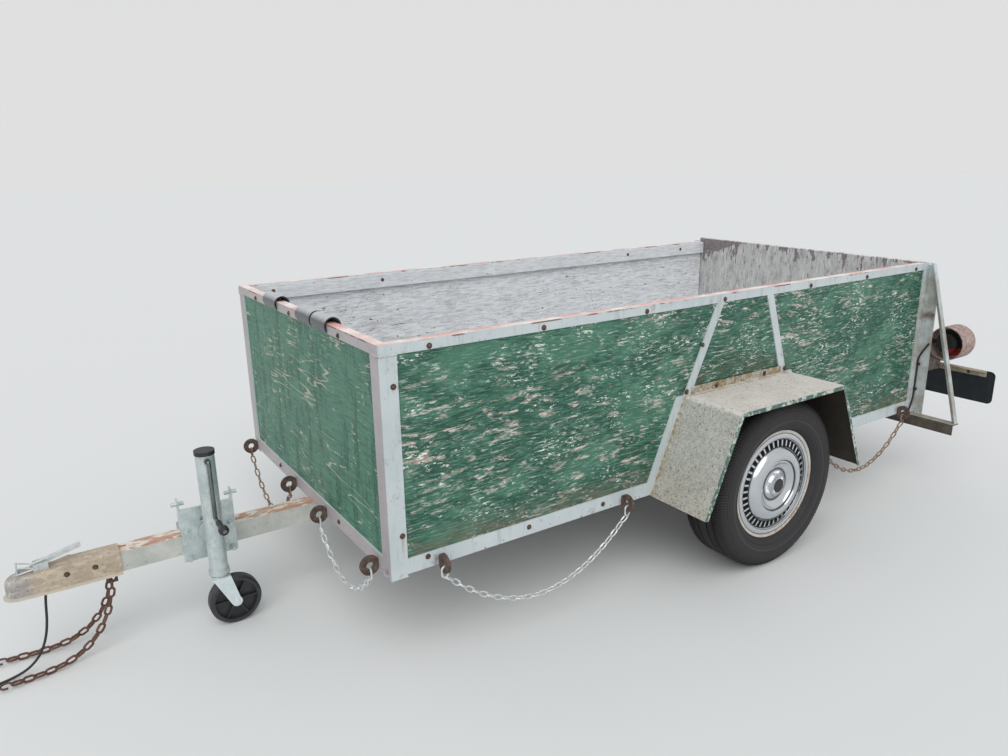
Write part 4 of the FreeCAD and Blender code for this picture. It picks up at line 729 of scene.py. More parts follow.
# Strip bolts as setbacks from the bed's front, one more in the panel above them with its height, and tacks
# every 58 mm down both slopes and along the top.
strip_bolts = (1.062, 1.202, 1.444, 1.555)
panel_bolt = (1.129, 0.754)
strip_middle = fender_high.z - 0.012
tack_size, tack_step, tack_jitter = 0.003, 0.058, 0.002
tack_proud, tack_lift = 0.002, 0.004
heads, tacks = [], []
for side in (-1, 1):
    wall = side * (half_width + 0.003)
    heads += [bolt((bed_front + x, wall, strip_middle), (0, side, 0), radius=0.0065) for x in strip_bolts]
    above = (bed_front + panel_bolt[0], side * half_width, panel_bolt[1])
    heads.append(bolt(above, (0, side, 0), radius=0.0055))
    bends = [(fender_low.x, fender_low.z), (axle_x - fender_half_top, fender_top)]
    bends += [(axle_x + fender_half_top, fender_top), (fender_high.x, fender_low.z)]
    bends = [Vector((x, side * (half_width + tack_proud), z + tack_lift)) for x, z in bends]
    for k, (start, end) in enumerate(zip(bends, bends[1:])):
        first, last = start.lerp(end, 0.03), start.lerp(end, 0.97)
        tacks.append(bead(first, last, tack_size, tack_step, tack_jitter, seed=k))
piece("fender_bolts", joined(heads), "trailer", rust)
bled_welds = scaly_rust("bled_weld_metal", "#B5A67E", "#E0D9BD", "#B3965C")
piece("fender_tack_welds", joined(tacks), "trailer", bled_welds)

# Tail: outrigger and arms in dirty enamel, and two round lamps on studs in rusty steel cans.  The housing is
# moulded black, the lens moulded red acrylic, and the blank plate baked black on its light angle.

dirty_enamel = scaly_rust("dirty_enamel_on_steel", "#5C5750", "#8B857B", "#6E5547")


def shaded_beam():
    """Enamel on the crossmember, dull, with dirt and rust: its upright face dark as painted shade, and what
    looks up paler as painted light.
    """
    made, tree, place = finish("dirt_and_painted_shade_on_enamelled_beam", Roughness=0.75, IOR=1.5)
    up = facing_up(tree)
    dirt = patches(tree, place, 35, 0.5, 0.16, 3)
    # Painted shade on the upright face, near-black brown; painted light on what looks up, pale grey-brown.
    # The blotches and rust spots are real dirt and rust.
    face = coats(tree, "#3E3A35", (dirt, "#5B554C"), (patches(tree, place, 14, 0.6, 0.05), "#6B4F40"))
    top = coats(tree, "#8D877C", (dirt, "#A9A397"))
    colour = coats(tree, face, (beyond(tree, up, 0.5, 0.9), top))
    grit = add(tree, "TexNoise", {"Vector": place, "Scale": per_mm(4), "Detail": 4.0})
    return surfaced(made, colour, grit, 0.0006, 0.5)


dress(("rear_crossmember",), shaded_beam())
dress(("lamp_arms",), dirty_enamel)
dress(("plate_hanger",), scaly_rust("beige_enamel_on_hanger", "#938878", "#B3A997", "#7A4D38"))
dress(("lamp_guards",), scaly_rust("mottled_rust_on_can", "#84706A", "#B8A59D", "#95644F"))

guard_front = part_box("lamp_guards")[0].x
lamp_split = guard_front + 0.038
lamp_middle = sum(corner.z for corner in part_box("tail_lamps")) / 2


def lamp_moulding():
    """Tail lamp: black moulded housing, and behind it a lens of red acrylic with fine prism squares.

    The red also shows as a strip low on the housing's outer side."""
    made, tree, place = finish("moulded_housing_and_red_acrylic", IOR=1.49)
    x, y, z = add(tree, "SeparateXYZ", {0: place}).node.outputs
    wide = add(tree, "Math", {0: y}, operation="ABSOLUTE")
    outward = add(tree, "Math", {0: wide, 1: z}, operation="SUBTRACT")
    low = beyond(tree, z, lamp_middle - 0.017, lamp_middle - 0.02)
    low_strip = shared(tree, low, beyond(tree, outward, 0.15, 0.152))
    behind = add(tree, "Math", {0: x, 1: lamp_split}, operation="GREATER_THAN")
    lens = any_of(tree, behind, low_strip)
    patchy = patches(tree, place, 30, 0.5, 0.2, 2)
    red = coats(tree, "#A3161A", (patchy, "#7C1215"))
    black = coats(tree, "#161718", (patchy, "#26272A"))
    # The real prisms are about 2 mm; they are drawn at 4 mm to show.
    prisms = add(tree, "TexVoronoi", {"Vector": place, "Scale": per_mm(4), "Randomness": 0.0})
    return surfaced(made, coats(tree, black, (lens, red)), prisms, 0.001, 0.4, (lens, 0.55, 0.22))


dress(("tail_lamps",), lamp_moulding())


def plain_surface(name, code, worn, roughness, size=40, **surface):
    """Moulded, sprayed or plated surface in one colour, scuffed or dusty in soft patches."""
    made, tree, place = finish(name, **surface)
    patchy = patches(tree, place, size, 0.52, 0.2, 2)
    gloss = (patchy, 0.85 * roughness, 1.2 * roughness)
    grain = add(tree, "TexNoise", {"Vector": place, "Scale": per_mm(2.5), "Detail": 3.0})
    return surfaced(made, coats(tree, code, (patchy, worn)), grain, 0.0002, 0.3, gloss)


black_rubber = plain_surface("black_rubber_jacket", "#17181A", "#2C2D30", 0.6, IOR=1.52)
dress(("number_plate",), plain_surface("black_baked_enamel", "#14181B", "#232A30", 0.42, IOR=1.5))
dress(("lamp_cables",), black_rubber)

# Bolts of the plate, ahead of its hanger, and the lamp's thin lead, which droops to the can's underside.


def wire(path, radius, sides=8, loop=False):
    """Round wire of a radius along a path of points, joined end to end where it is a loop."""
    turns = [2 * math.pi * k / sides for k in range(sides)]
    rings, across = [], None
    for k, spot in enumerate(path):
        last = len(path) - 1
        behind = path[k - 1] if loop or k else spot
        ahead = path[(k + 1) % len(path)] if loop or k < last else spot
        way = (ahead - behind).normalized()
        across = (across - way * across.dot(way)).normalized() if across else way.orthogonal().normalized()
        other = way.cross(across)
        rings.append([spot + (across * math.cos(t) + other * math.sin(t)) * radius for t in turns])
    return lofted(rings, loop)


curve_steps = 6


def curved(points):
    """Smooth line through points, in six steps between each two."""
    ends = [2 * points[0] - points[1]] + points + [2 * points[-1] - points[-2]]
    line = []
    for a, b, c, d in zip(ends, ends[1:], ends[2:], ends[3:]):
        for k in range(curve_steps):
            t = k / curve_steps
            bow = (2 * a - 5 * b + 4 * c - d) * t**2 + (3 * b - a - 3 * c + d) * t**3
            line.append((2 * b + (c - a) * t + bow) / 2)
    return line + [points[-1]]


hanger_low, hanger_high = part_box("plate_hanger")
plate_face = hanger_high.x - 0.003
plate_bolt_height = hanger_low.z + 0.009
heads = []
for inset in (0.0255, 0.1205):
    spot = (plate_face, hanger_high.y - inset, plate_bolt_height)
    heads.append(bolt(spot, (-1, 0, 0), radius=0.0045))
piece("plate_bolts", joined(heads), "trailer", rust)

# Points of the lead: setback from the bed's rear, distance from the middle, and height.
lead_radius = 0.0022
lead_drop = ((0.009, 0.645, 0.545), (0.03, 0.655, 0.522), (0.055, 0.68, 0.508), (0.08, 0.7, 0.512))
leads = []
for side in (-1, 1):
    leads.append(wire(curved([Vector((bed_rear + x, side * y, z)) for x, y, z in lead_drop]), lead_radius))
piece("lamp_leads", joined(leads), "trailer", black_rubber)

# Running gear: dropped tube axle on two leaf springs, whose hangers are welded under the bottom rails.  All
# of it was painted black once, and is dull with road dirt and rust.

black_steel = scaly_rust("road_dirt_on_black_steel", "#211E1C", "#352E2A", "#54402F")
dress(("axle_beam", "leaf_springs", "spring_hangers", "axle_clamps"), black_steel)
dress([side + "_wheel_hub" for side in ("left", "right")], black_steel)

# Tyres: 175 mm wide, 575 mm tall, moulded black rubber gone brownish grey.  The profile follows the carcass
# from the bead out over the sidewall's ridges to the tread, whose sipes and four grooves are real shape.


def spun(profile, centre, axis, steps, carve=None):
    """Closed profile of (radius, distance along the axis) in millimetres, turned about an axis.

    A carve function is given the step and the two values, and returns them changed."""
    axis, side, other = square_to(axis)
    rings = []
    for k in range(steps):
        turn = 2 * math.pi * k / steps
        out = side * math.cos(turn) + other * math.sin(turn)
        cut = [carve(k, r, s) if carve else (r, s) for r, s in profile]
        rings.append([Vector(centre) + out * (r / 1000) + axis * (s / 1000) for r, s in cut])
    return lofted(rings, loop=True)


tyre_wall = ((167.5, 50.2), (176, 55), (184.5, 58.8), (187.8, 60.2), (190.5, 65), (195, 71.5), (201, 76.8))
tyre_wall += ((203, 78.6), (206, 79.2), (209, 79.2), (212, 80.8), (222, 84.8), (232, 86.9), (243, 86.6))
tyre_wall += ((253, 84.8), (255, 84.4), (256.5, 83.4), (258.5, 83.2), (264, 81), (269, 78.6), (275, 75))
tyre_wall += ((280, 71.2), (284, 67.2), (286.6, 62.6), (287.4, 56), (287.5, 49))
tread = ((281.5, 47.5), (281.5, 43.5), (287.5, 42), (287.6, 22.5), (281.5, 21), (281.5, 17), (287.6, 15.5))
tyre_half = tyre_wall + tread
tyre_profile = tyre_half + tuple((r, -s) for r, s in reversed(tyre_half))
sipe_depth = 4.5
tyre_steps = 540
# Radius, and distance from the tyre's middle, past which the shoulders and the tread are cut.
shoulder = (263.0, 60.0)
tread_edge = (287.0, 25.0)
sipe_spread = 0.6
# Rings moulded in the sidewall: inner and outer radius in metres, and the shade of each.
wall_rings = ((0.2535, 0.2575, "#141415"), (0.205, 0.21, "#161617"), (0.222, 0.226, "#434345"))


def sipes(step, r, s):
    """Cuts every third step across the shoulders, shallow at the sidewall."""
    if step % 3 == 0 and r > shoulder[0] and abs(s) > shoulder[1]:
        return r - sipe_depth, s - math.copysign(sipe_spread, s)
    if step % 3 == 0 and r > tread_edge[0] and abs(s) > tread_edge[1]:
        return r - sipe_depth, s
    return r, s


def from_axis(tree, x, z):
    """How far a place is from the wheel's axis."""
    flat = add(tree, "CombineXYZ", {0: x, 1: wheel_centre.y, 2: z})
    return add(tree, "VectorMath", {0: flat, 1: wheel_centre}, out=1, operation="DISTANCE")


def weathered_tyre_rubber():
    """Tyre rubber, moulded and aged: matt, brown-grey, with dust in soft rings, and painted shade darkening
    the tread grooves and sipes.
    """
    made, tree, place = finish("weathered_tyre_rubber", IOR=1.52)
    x, _, z = add(tree, "SeparateXYZ", {0: place}).node.outputs
    radius = from_axis(tree, x, z)
    rings = add(tree, "CombineXYZ", {0: radius, 1: 0.0, 2: 0.0})
    bands = patches(tree, rings, 14, 0.5, 0.15, 1)
    dust = patches(tree, place, 55, 0.5, 0.2, 2)
    colour = coats(tree, "#1C1B1E", (bands, "#2C2A2D", 0.7), (dust, "#343132", 0.5))
    # Painted shade: everything 276 to 284.5 mm from the axis, the groove floors included, is coloured darker.
    groove_shade = beyond(tree, radius, 0.2845, 0.282)
    tread_only = beyond(tree, radius, 0.272, 0.276)
    colour = coats(tree, colour, (shared(tree, groove_shade, tread_only), "#141414"))
    for inner, outer, shade in wall_rings:
        within = beyond(tree, radius, outer, outer - 0.001)
        ring = shared(tree, beyond(tree, radius, inner, inner + 0.001), within)
        colour = coats(tree, colour, (ring, shade, 0.75))
    # Painted shade: the sipes are darkened by colour, every third step round, beyond 266 mm from the axis.
    run = add(tree, "Math", {0: x, 1: wheel_centre.x}, operation="SUBTRACT")
    rise = add(tree, "Math", {0: z, 1: wheel_centre.z}, operation="SUBTRACT")
    turned = add(tree, "Math", {0: rise, 1: run}, operation="ARCTAN2")
    count = add(tree, "Math", {0: turned, 1: tyre_steps / 3 / (2 * math.pi)}, operation="MULTIPLY")
    from_sipe = add(tree, "Math", {0: count, 1: 0.5}, operation="PINGPONG")
    sipe_shade = shared(tree, beyond(tree, from_sipe, 0.2, 0.12), beyond(tree, radius, 0.262, 0.266), 0.9)
    colour = coats(tree, colour, (sipe_shade, "#0B0B0C"))
    grain = add(tree, "TexNoise", {"Vector": place, "Scale": per_mm(2), "Detail": 4.0})
    return surfaced(made, colour, grain, 0.0003, 0.5, (dust, 0.62, 0.82))


rubber = weathered_tyre_rubber()
wheels = []
for name, side in (("left", -1), ("right", 1)):
    middle = Vector((wheel_centre.x, -side * wheel_centre.y, wheel_centre.z))
    wheels.append((name, middle, (0, side, 0)))
for name, middle, out in wheels:
    tyre = spun(tyre_profile, middle, out, tyre_steps, sipes)
    piece(name + "_tyre_tread", tyre, name + "_wheel", rubber, (name + "_tyre",))

# Rims: 13-inch pressed steel, with the flange rolled over beyond the bead and a dished centre disc.  Cream
# enamel, chalked, with rust creeping round the lower flange.

rim_half = ((166.7, 50.1), (172, 52.9), (178, 56.4), (184, 59.9), (186, 61.0), (186.7, 62.6), (185.2, 63.6))
rim_half += ((181.5, 63.2), (177, 61), (172, 58.2), (166, 55.8), (162, 54.4), (160.7, 52))
rim_profile = rim_half + tuple((r, -s) for r, s in reversed(rim_half))
disc_profile = ((34, 8), (90, 8), (97, 10), (108, 24), (115, 28), (160.7, 28), (160.7, 34), (112, 34))
disc_profile += ((105, 30), (94, 16), (87, 14), (34, 14))


def chalked_cream():
    """Enamel on steel: eggshell cream, chalky, rust-brown in runs along the lower flange."""
    made, tree, place = finish("chalked_cream_enamel_on_rim", Roughness=0.5, IOR=1.5)
    x, _, z = add(tree, "SeparateXYZ", {0: place}).node.outputs
    cloudy = patches(tree, place, 28, 0.5, 0.2)
    right = add(tree, "Math", {0: x, 1: wheel_centre.x}, operation="SUBTRACT")
    drop = add(tree, "Math", {0: wheel_centre.z, 1: z}, operation="SUBTRACT")
    low = beyond(tree, add(tree, "Math", {0: right, 1: drop}, operation="ADD"), 0.11, 0.24)
    runs = patches(tree, place, 20, 0.5, 0.1, 4)
    rusty = shared(tree, low, runs, 0.9)
    chips = specks(tree, place, 17, 2.6, 0.3)
    colour = coats(tree, "#B3B1A5", (cloudy, "#CAC8BD"), (rusty, "#A67548"), (chips, "#7A5B45", 0.8))
    return surfaced(made, colour, chips, -0.0004, 0.5)


cream = chalked_cream()
rim_steps, disc_steps = 200, 96
for name, middle, out in wheels:
    barrel = spun(rim_profile, middle, out, rim_steps)
    disc = spun(disc_profile, middle, out, disc_steps)
    piece(name + "_wheel_rim", joined([barrel, disc]), name + "_wheel", cream, (name + "_rim",))

# Wheel covers: full covers pressed from thin stainless steel and chrome-bright, clipped into the rim.
# Forty slots lie in a sunk ring round a domed band, their faces near-black as painted shade, and a sunk dish
# holds a raised hub with a plain black middle.

cover_face = ((169, 54.9), (176.4, 60.2), (176.4, 61.4), (174.5, 63.2), (170, 64.6), (164, 64.2), (158, 62.2))
cover_face += ((154.5, 59.2), (153, 57), (151.8, 55.8), (150, 55.6), (142, 57), (133, 58.6), (131.4, 59.4))
cover_face += ((129.5, 61.6), (126.5, 65), (121.5, 70.5), (115, 75), (108, 78), (100, 79.4), (94, 78.8))
cover_face += ((90, 78), (88, 75.5), (87, 73), (84, 72.5), (82, 73.5), (79.5, 73), (77, 70), (70, 64.5))
cover_face += ((60, 60.5), (52, 59.5), (46, 61), (42, 65), (38.5, 70.5), (34, 74.5), (28, 76.2), (24, 76.7))
cover_back = ((24, 75), (40, 64), (46, 59.4), (60, 58.8), (72, 63), (86, 70.5), (108, 74), (120, 66))
cover_back += ((126, 46), (156, 46), (160, 50.5))
cover_profile = cover_face + cover_back
# Slots and ribs: the radii they lie between, how far out the face is there, their depth, how many steps
# one takes up and how many of these are sunk.
slot_band, slot_face, slot_depth, slot_steps, slot_share = (132.0, 151.0), 55.0, 8.0, 10, 6
rib_band, rib_face, rib_depth, rib_steps, rib_share = (27.0, 43.0), 64.0, 1.5, 5, 2
slot_count = 40
# Painted shade round the cover's crease lines: radius of each in metres, and how far its shade reaches.
painted_crease_shade = ((0.154, 0.0035), (0.1305, 0.003), (0.0865, 0.0035), (0.054, 0.007), (0.1765, 0.002))
painted_crease_shade += ((0.159, 0.0018),)


def slots_and_ribs(step, r, s):
    """Forty sunk slots, and fine ribs round the hub."""
    if slot_band[0] < r < slot_band[1] and step % slot_steps < slot_share and s > slot_face:
        return r, s - slot_depth
    if rib_band[0] < r < rib_band[1] and step % rib_steps < rib_share and s > rib_face:
        return r, s - rib_depth
    return r, s


def bright_stainless():
    """Polished stainless pressing: mirror-bright, dulled, and darkened round each crease by painted shade."""
    made, tree, place = finish("polished_stainless_steel", Metallic=1.0)
    x, _, z = add(tree, "SeparateXYZ", {0: place}).node.outputs
    radius = from_axis(tree, x, z)
    film = patches(tree, place, 45, 0.5, 0.2, 2)
    colour = coats(tree, "#D6D9DD", (film, "#B9BDC2", 0.5))
    # Painted shade: near each crease the colour turns dark grey.
    for crease, reach in painted_crease_shade:
        dull = beyond(tree, apart(tree, radius, crease), reach, 0.2 * reach)
        colour = coats(tree, colour, (dull, "#3E4144", 0.9))
    ripple = add(tree, "TexNoise", {"Vector": place, "Scale": per_mm(35), "Detail": 2.0})
    return surfaced(made, colour, ripple, 0.0008, 0.25, (film, 0.1, 0.22))


stainless = bright_stainless()
black_plastic = plain_surface("moulded_black_plastic", "#1B1C1F", "#2E3033", 0.45, IOR=1.49)
slot_rows = [i for i, (r, s) in enumerate(cover_face) if slot_band[0] < r < slot_band[1]]
cover_steps = slot_count * slot_steps
# Painted shade: the sunk slots' faces take a near-black finish.
slot_shade_black = plain_surface("painted_shade_in_slots", "#0C0D0E", "#151617", 0.7, IOR=1.5)
button_profile = ((0.0235, 0.074), (0.0235, 0.0768), (0.021, 0.0779), (0.012, 0.0784))
dark_steps = [k for k in range(cover_steps) if (k + 1) % slot_steps <= slot_share]
dark_rows = range(slot_rows[0] - 1, slot_rows[-1] + 1)
pockets = [k * len(cover_profile) + i for k in dark_steps for i in dark_rows]
for name, middle, out in wheels:
    shape = spun(cover_profile, middle, out, cover_steps, slots_and_ribs)
    body, stood = name + "_wheel", (name + "_wheel_cover",)
    piece(name + "_cover", shape, body, (stainless, slot_shade_black), stood, pockets)
    button = stacked(button_profile, middle, out, 48)
    piece(name + "_cover_middle", button, body, black_plastic)

# Tongue and coupler: 60 mm square tube, its top worn to red primer between scabs of old white, its sides
# weathered white.  The pressed coupler is worn to tan steel, with a greyer ball dome and a flared lip.

tongue_low, tongue_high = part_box("tongue")
coupler_low, coupler_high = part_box("coupler")


def tongue_paint():
    """Two paints on steel tube: chalky white sides, greyed in part by painted shade, and flaking white over
    orange-red primer on top.
    """
    made, tree, place = finish("flaking_white_over_red_primer", Roughness=0.62, IOR=1.5)
    up = facing_up(tree)
    cloudy = patches(tree, place, 50, 0.5, 0.2)
    # The sides' grey-white is the paint's chalky tone, darkened in part as painted shade.
    sides = coats(tree, "#AEB0A9", (cloudy, "#C6C7C0"), (patches(tree, place, 22, 0.66, 0.04), "#8F7464"))
    scabs = patches(tree, place, 17, 0.52, 0.03, 3, 2.2, detail=9.0)
    tan = patches(tree, place, 60, 0.5, 0.1, 5, 2)
    top = coats(tree, "#AA6656", (patches(tree, place, 12, 0.5, 0.15, 4), "#BF8371"))
    top = coats(tree, top, (tan, "#BFAB93", 0.8), (scabs, "#DCD5CA"))
    return surfaced(made, coats(tree, sides, (beyond(tree, up, 0.5, 0.9), top)), scabs, 0.0006, 0.6)


def worn_coupler():
    """Bare pressed steel with scraps of cream paint: dull tan to grey, greyer on the dome and paler along the
    lip.
    """
    made, tree, place = finish("worn_pressed_steel", Roughness=0.55, IOR=1.5)
    x, _, z = add(tree, "SeparateXYZ", {0: place}).node.outputs
    cloudy = patches(tree, place, 26, 0.5, 0.16)
    scraps = patches(tree, place, 14, 0.56, 0.04, 3, 2, detail=8.0)
    pits = patches(tree, place, 8, 0.62, 0.04, 6)
    dome = beyond(tree, x, coupler_low.x + 0.085, coupler_low.x + 0.05)
    colour = coats(tree, "#A89884", (cloudy, "#B9A995"), (dome, coats(tree, "#8F8B89", (cloudy, "#ABA7A3"))))
    colour = coats(tree, colour, (scraps, "#CFC3AE", 0.55), (pits, "#7B675A", 0.7))
    lip = beyond(tree, z, coupler_low.z + 0.0065, coupler_low.z + 0.005)
    colour = coats(tree, colour, (lip, "#CBC5B8", 0.8))
    return surfaced(made, colour, pits, -0.0006, 0.6)


dress(("tongue",), tongue_paint())
dress(("coupler",), worn_coupler())
# Bolts through the coupler's sides: their setbacks from the tongue's front end, how high over its underside,
# and how far the pressing stands out from the tube.
coupler_bolts = (0.064, -0.006)
bolt_rise = 0.037
coupler_wall = 0.0045
heads = []
for side in (-1, 1):
    for setback in coupler_bolts:
        spot = (tongue_low.x + setback, side * (tongue_high.y + coupler_wall), tongue_low.z + bolt_rise)
        heads.append(bolt(spot, (0, side, 0), radius=0.0055))
piece("coupler_bolts", joined(heads), "trailer", rust)

# Jack: swivel trailer jack, zinc-plated and passivated to a faint blue-green, with a black chrome crank and
# a moulded wheel and cap.  It turns on a bracket clamped round the tongue by plated bolts.


def passivated_zinc(name, code, dull, metallic):
    """Zinc plate: pale, soft-bright, faintly blue-green, with greyer dull patches and fine scratches."""
    made, tree, place = finish(name, Metallic=metallic)
    cloudy = patches(tree, place, 34, 0.52, 0.16, 1)
    spangle = patches(tree, place, 7, 0.56, 0.12, 2)
    grime = patches(tree, place, 16, 0.68, 0.04, 3)
    colour = coats(tree, code, (cloudy, dull), (spangle, "#E9F0F0", 0.3))
    colour = coats(tree, colour, (grime, "#7C8485", 0.6))
    scratches = patches(tree, place, 3, 0.6, 0.1, 4, (1, 1, 9))
    return surfaced(made, colour, scratches, 0.0003, 0.3, (cloudy, 0.28, 0.45))


zinc = passivated_zinc("passivated_zinc_plate", "#C9D3D2", "#AEBABA", 0.5)
dress(("jack_bracket", "jack_outer_tube"), zinc)
dress(("coupler_latch",), passivated_zinc("silvery_zinc_latch", "#D3D7D7", "#B4B9B9", 0.5))
dress(("jack_inner_tube",), passivated_zinc("bright_zinc_tube", "#D2DADB", "#B7C1C2", 0.65))
dress(("jack_yoke",), passivated_zinc("pale_zinc_yoke", "#DCE6E8", "#C9D5D7", 0.3))
dress(("jack_crank",), plain_surface("black_chrome_rod", "#6A6E70", "#8C9092", 0.22, Metallic=1.0))
dress(("jack_cap", "crank_knob"), black_plastic)
dress(("jack_wheel",), plain_surface("moulded_black_nylon", "#222326", "#34363A", 0.5, size=30, IOR=1.53))

# Rigging: washers welded to the rails as tie rings, a chain hung between each two, and half pipes over the
# front rail.  The near front chains are bright zinc, the rest tan with rust.


def half_pipe_with_painted_light():
    """Smooth grey pipe with a skin, glossy: painted highlight makes it paler where it looks up, and painted
    shade makes its sides dark and its inside nearly black.
    """
    made, tree, place = finish("grey_half_pipe_with_painted_light", IOR=1.5)
    up = facing_up(tree)
    patchy = patches(tree, place, 30, 0.52, 0.2)
    sides = coats(tree, "#3C4043", (patchy, "#4A4E52"))
    top = coats(tree, "#A3A7AC", (patchy, "#B9BDC1"))
    # Painted light by facing: pale on top as painted highlight, dark sides and a near-black inside as painted
    # shade.
    colour = coats(tree, sides, (beyond(tree, up, 0.35, 0.85), top), (beyond(tree, up, 0.0, -0.2), "#2B2D30"))
    ripples = add(tree, "TexNoise", {"Vector": place, "Scale": per_mm(30), "Detail": 1.0})
    return surfaced(made, colour, ripples, 0.0006, 0.2, (patchy, 0.2, 0.32))


dress(("tie_rings", "chain_lugs"), scaly_rust("grey_brown_rust_on_rings", "#3F332F", "#62534C", "#7C5C4B"))
dress(("rail_saddles",), half_pipe_with_painted_light())
bend_steps, link_sides = 5, 7


def link(centre, along, across, length, width, radius):
    """Welded link of round wire, its long way along the chain."""
    bend, straight = width / 2 - radius, length / 2 - width / 2
    path = []
    for way in (1, -1):
        for k in range(bend_steps + 1):
            turn = math.pi * (k / bend_steps - 0.5)
            out = way * (straight + bend * math.cos(turn))
            path.append(centre + along * out + across * (way * bend * math.sin(turn)))
    return wire(path, radius, link_sides, loop=True)


def chain(path, normal, pitch, width, radius):
    """Links threaded along a path, each a quarter turn from the last, a whole number of pitches long."""
    lengths = [0.0]
    for a, b in zip(path, path[1:]):
        lengths.append(lengths[-1] + (b - a).length)
    count = round(lengths[-1] / pitch)
    step = lengths[-1] / count
    links = []
    for k in range(count):
        goal = (k + 0.5) * step
        at = max(i for i, reached in enumerate(lengths) if reached <= goal)
        at = min(at, len(path) - 2)
        part = (goal - lengths[at]) / (lengths[at + 1] - lengths[at])
        along = (path[at + 1] - path[at]).normalized()
        across = (normal - along * normal.dot(along)).normalized()
        if k % 2:
            across = along.cross(across)
        links.append(link(path[at].lerp(path[at + 1], part), along, across, step + 2 * radius, width, radius))
    return links


# Pitch or half length, width and wire of a tie chain's links, and of the long links that hook into the rings.
tie_pitch, tie_width, tie_wire = 0.028, 0.0185, 0.0027
hook_half, hook_width, hook_wire = 0.0195, 0.024, 0.003
hook_overlap = 0.002


def hung_chain(solids, way, normal):
    """Round links along a hung chain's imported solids, between a long link in each of its two rings."""
    spots = sorted(((low + high) / 2 for low, high in solids), key=lambda spot: spot.dot(way))
    drop = Vector((0, 0, hook_half - hook_overlap))
    line = [spots[0] - drop] + spots[1:-1] + [spots[-1] - drop]
    parts = chain(curved(line), normal, tie_pitch, tie_width, tie_wire)
    for spot in (spots[0], spots[-1]):
        parts.append(link(spot, Vector((0, 0, 1)), way, 2 * hook_half, hook_width, hook_wire))
    return joined(parts)


bright_chain = passivated_zinc("bright_zinc_chain", "#DDE0E1", "#BFC4C6", 0.5)
tan_chain = scaly_rust("tan_rust_on_chain", "#6E5A4B", "#A08C78", "#7B4F39")
brown_chain = scaly_rust("red_rust_on_chain", "#4A362F", "#6F5044", "#85573F")
swags = (
    ("front_near_chain", "front_tie_chains", 1, -0.8, 0.0, bright_chain, "zinc_plate"),
    ("front_far_chain", "front_tie_chains", 1, 0.0, 0.8, tan_chain, "chain_steel"),
    ("left_front_chain", "left_tie_chains", 0, -0.9, 0.4, bright_chain, "zinc_plate"),
    ("left_rear_chain", "left_tie_chains", 0, 0.4, 1.8, tan_chain, "chain_steel"),
    ("right_front_chain", "right_tie_chains", 0, -0.9, 0.4, tan_chain, "chain_steel"),
    ("right_rear_chain", "right_tie_chains", 0, 0.4, 1.8, tan_chain, "chain_steel"),
)
for name, node, axis, start, end, made, slot in swags:
    way = Vector((1 - axis, axis, 0))
    normal = Vector((axis, 1 - axis, 0))
    own = [pair for pair in solids_of(node) if start < pair[0][axis] < end]
    piece(name, hung_chain(own, way, normal), "trailer", made, (node,))

# Safety chains: heavier welded links of mild steel, gone red with rust.  They hang from the lugs under the
# tongue down to the ground, and each ends in an open hook of round bar.

safety_pitch, safety_width, safety_wire = 0.026, 0.0215, 0.0035
open_radius, open_wire = 0.0135, 0.003
lug_inset, lug_height = 0.003, 0.207
for side, name in ((-1, "near"), (1, "far")):
    own = [(low + high) / 2 for low, high in solids_of("safety_chains") if (low.y + high.y) * side > 0]
    own.sort(key=lambda spot: spot.x)
    hook, spots = own[0], own[1:]
    lug_hole = Vector((spots[-1].x + lug_inset, spots[-1].y, lug_height))
    way = (spots[0] - hook).normalized()
    lie = way.cross(Vector((0, 0, 1)))
    line = curved([hook + way * open_radius] + spots + [lug_hole])
    parts = chain(line, Vector((0, 1, 0)), safety_pitch, safety_width, safety_wire)
    turns = [math.radians(a) for a in range(0, 300, 12)]
    bow = [hook + (way * math.cos(t) - lie * math.sin(t)) * open_radius for t in turns]
    parts.append(wire(bow, open_wire))
    piece(name + "_safety_chain", joined(parts), "trailer", brown_chain, ("safety_chains",))

# Wiring: black rubber-jacketed lead, 7 mm, from the grommet in the tongue's end down to the floor, with
# a moulded flat plug.  Its points are setbacks from the tongue's front end, in metres.

dress(("cable_grommet", "wiring_plug"), black_rubber)
cable_route = (
    (-0.035, 0.006, 0.245),
    (-0.062, 0.002, 0.216),
    (-0.068, -0.007, 0.176),
    (-0.072, -0.017, 0.132),
    (-0.082, -0.028, 0.088),
    (-0.102, -0.036, 0.046),
    (-0.136, -0.039, 0.016),
    (-0.178, -0.040, 0.0042),
    (-0.222, -0.049, 0.004),
    (-0.258, -0.080, 0.004),
    (-0.274, -0.124, 0.004),
)
cable_radius = 0.0035
route = [(tongue_low.x, 0.006, 0.245)] + [(tongue_low.x + x, y, z) for x, y, z in cable_route]
lead = bpy.data.curves.new("wiring_lead", "CURVE")
lead.dimensions = "3D"
lead.bevel_depth = cable_radius
lead.bevel_resolution = 4
lead.resolution_u = 12
lead.use_fill_caps = True
spline = lead.splines.new("NURBS")
spline.points.add(len(route) - 1)
for point, spot in zip(spline.points, route):
    point.co = (*spot, 1.0)
spline.order_u = 3
spline.use_endpoint_u = True
lead.materials.append(black_rubber)
wiring = bpy.data.objects.new("wiring_lead", lead)
bpy.context.scene.collection.objects.link(wiring)
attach(wiring, "trailer")
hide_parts("wiring_cable")

# Studio: plain pale floor that runs to the horizon, an even sky and one broad soft light from upper left.

floor_colour = "#DCDDDC"
sky_level = 0.7
sun_level = 1.45
sun_way = Vector((-0.5, -0.7, 0.9)).normalized()


def pale_floor():
    """Matt painted floor: plain and pale, with a faint unevenness."""
    made, tree, place = finish("pale_matt_floor", Roughness=0.9)
    faint = patches(tree, place, 900, 0.5, 0.3)
    colour = coats(tree, floor_colour, (faint, "#D8D9D8", 0.3))
    tree.links.new(colour, tree.nodes["Principled BSDF"].inputs["Base Color"])
    return made


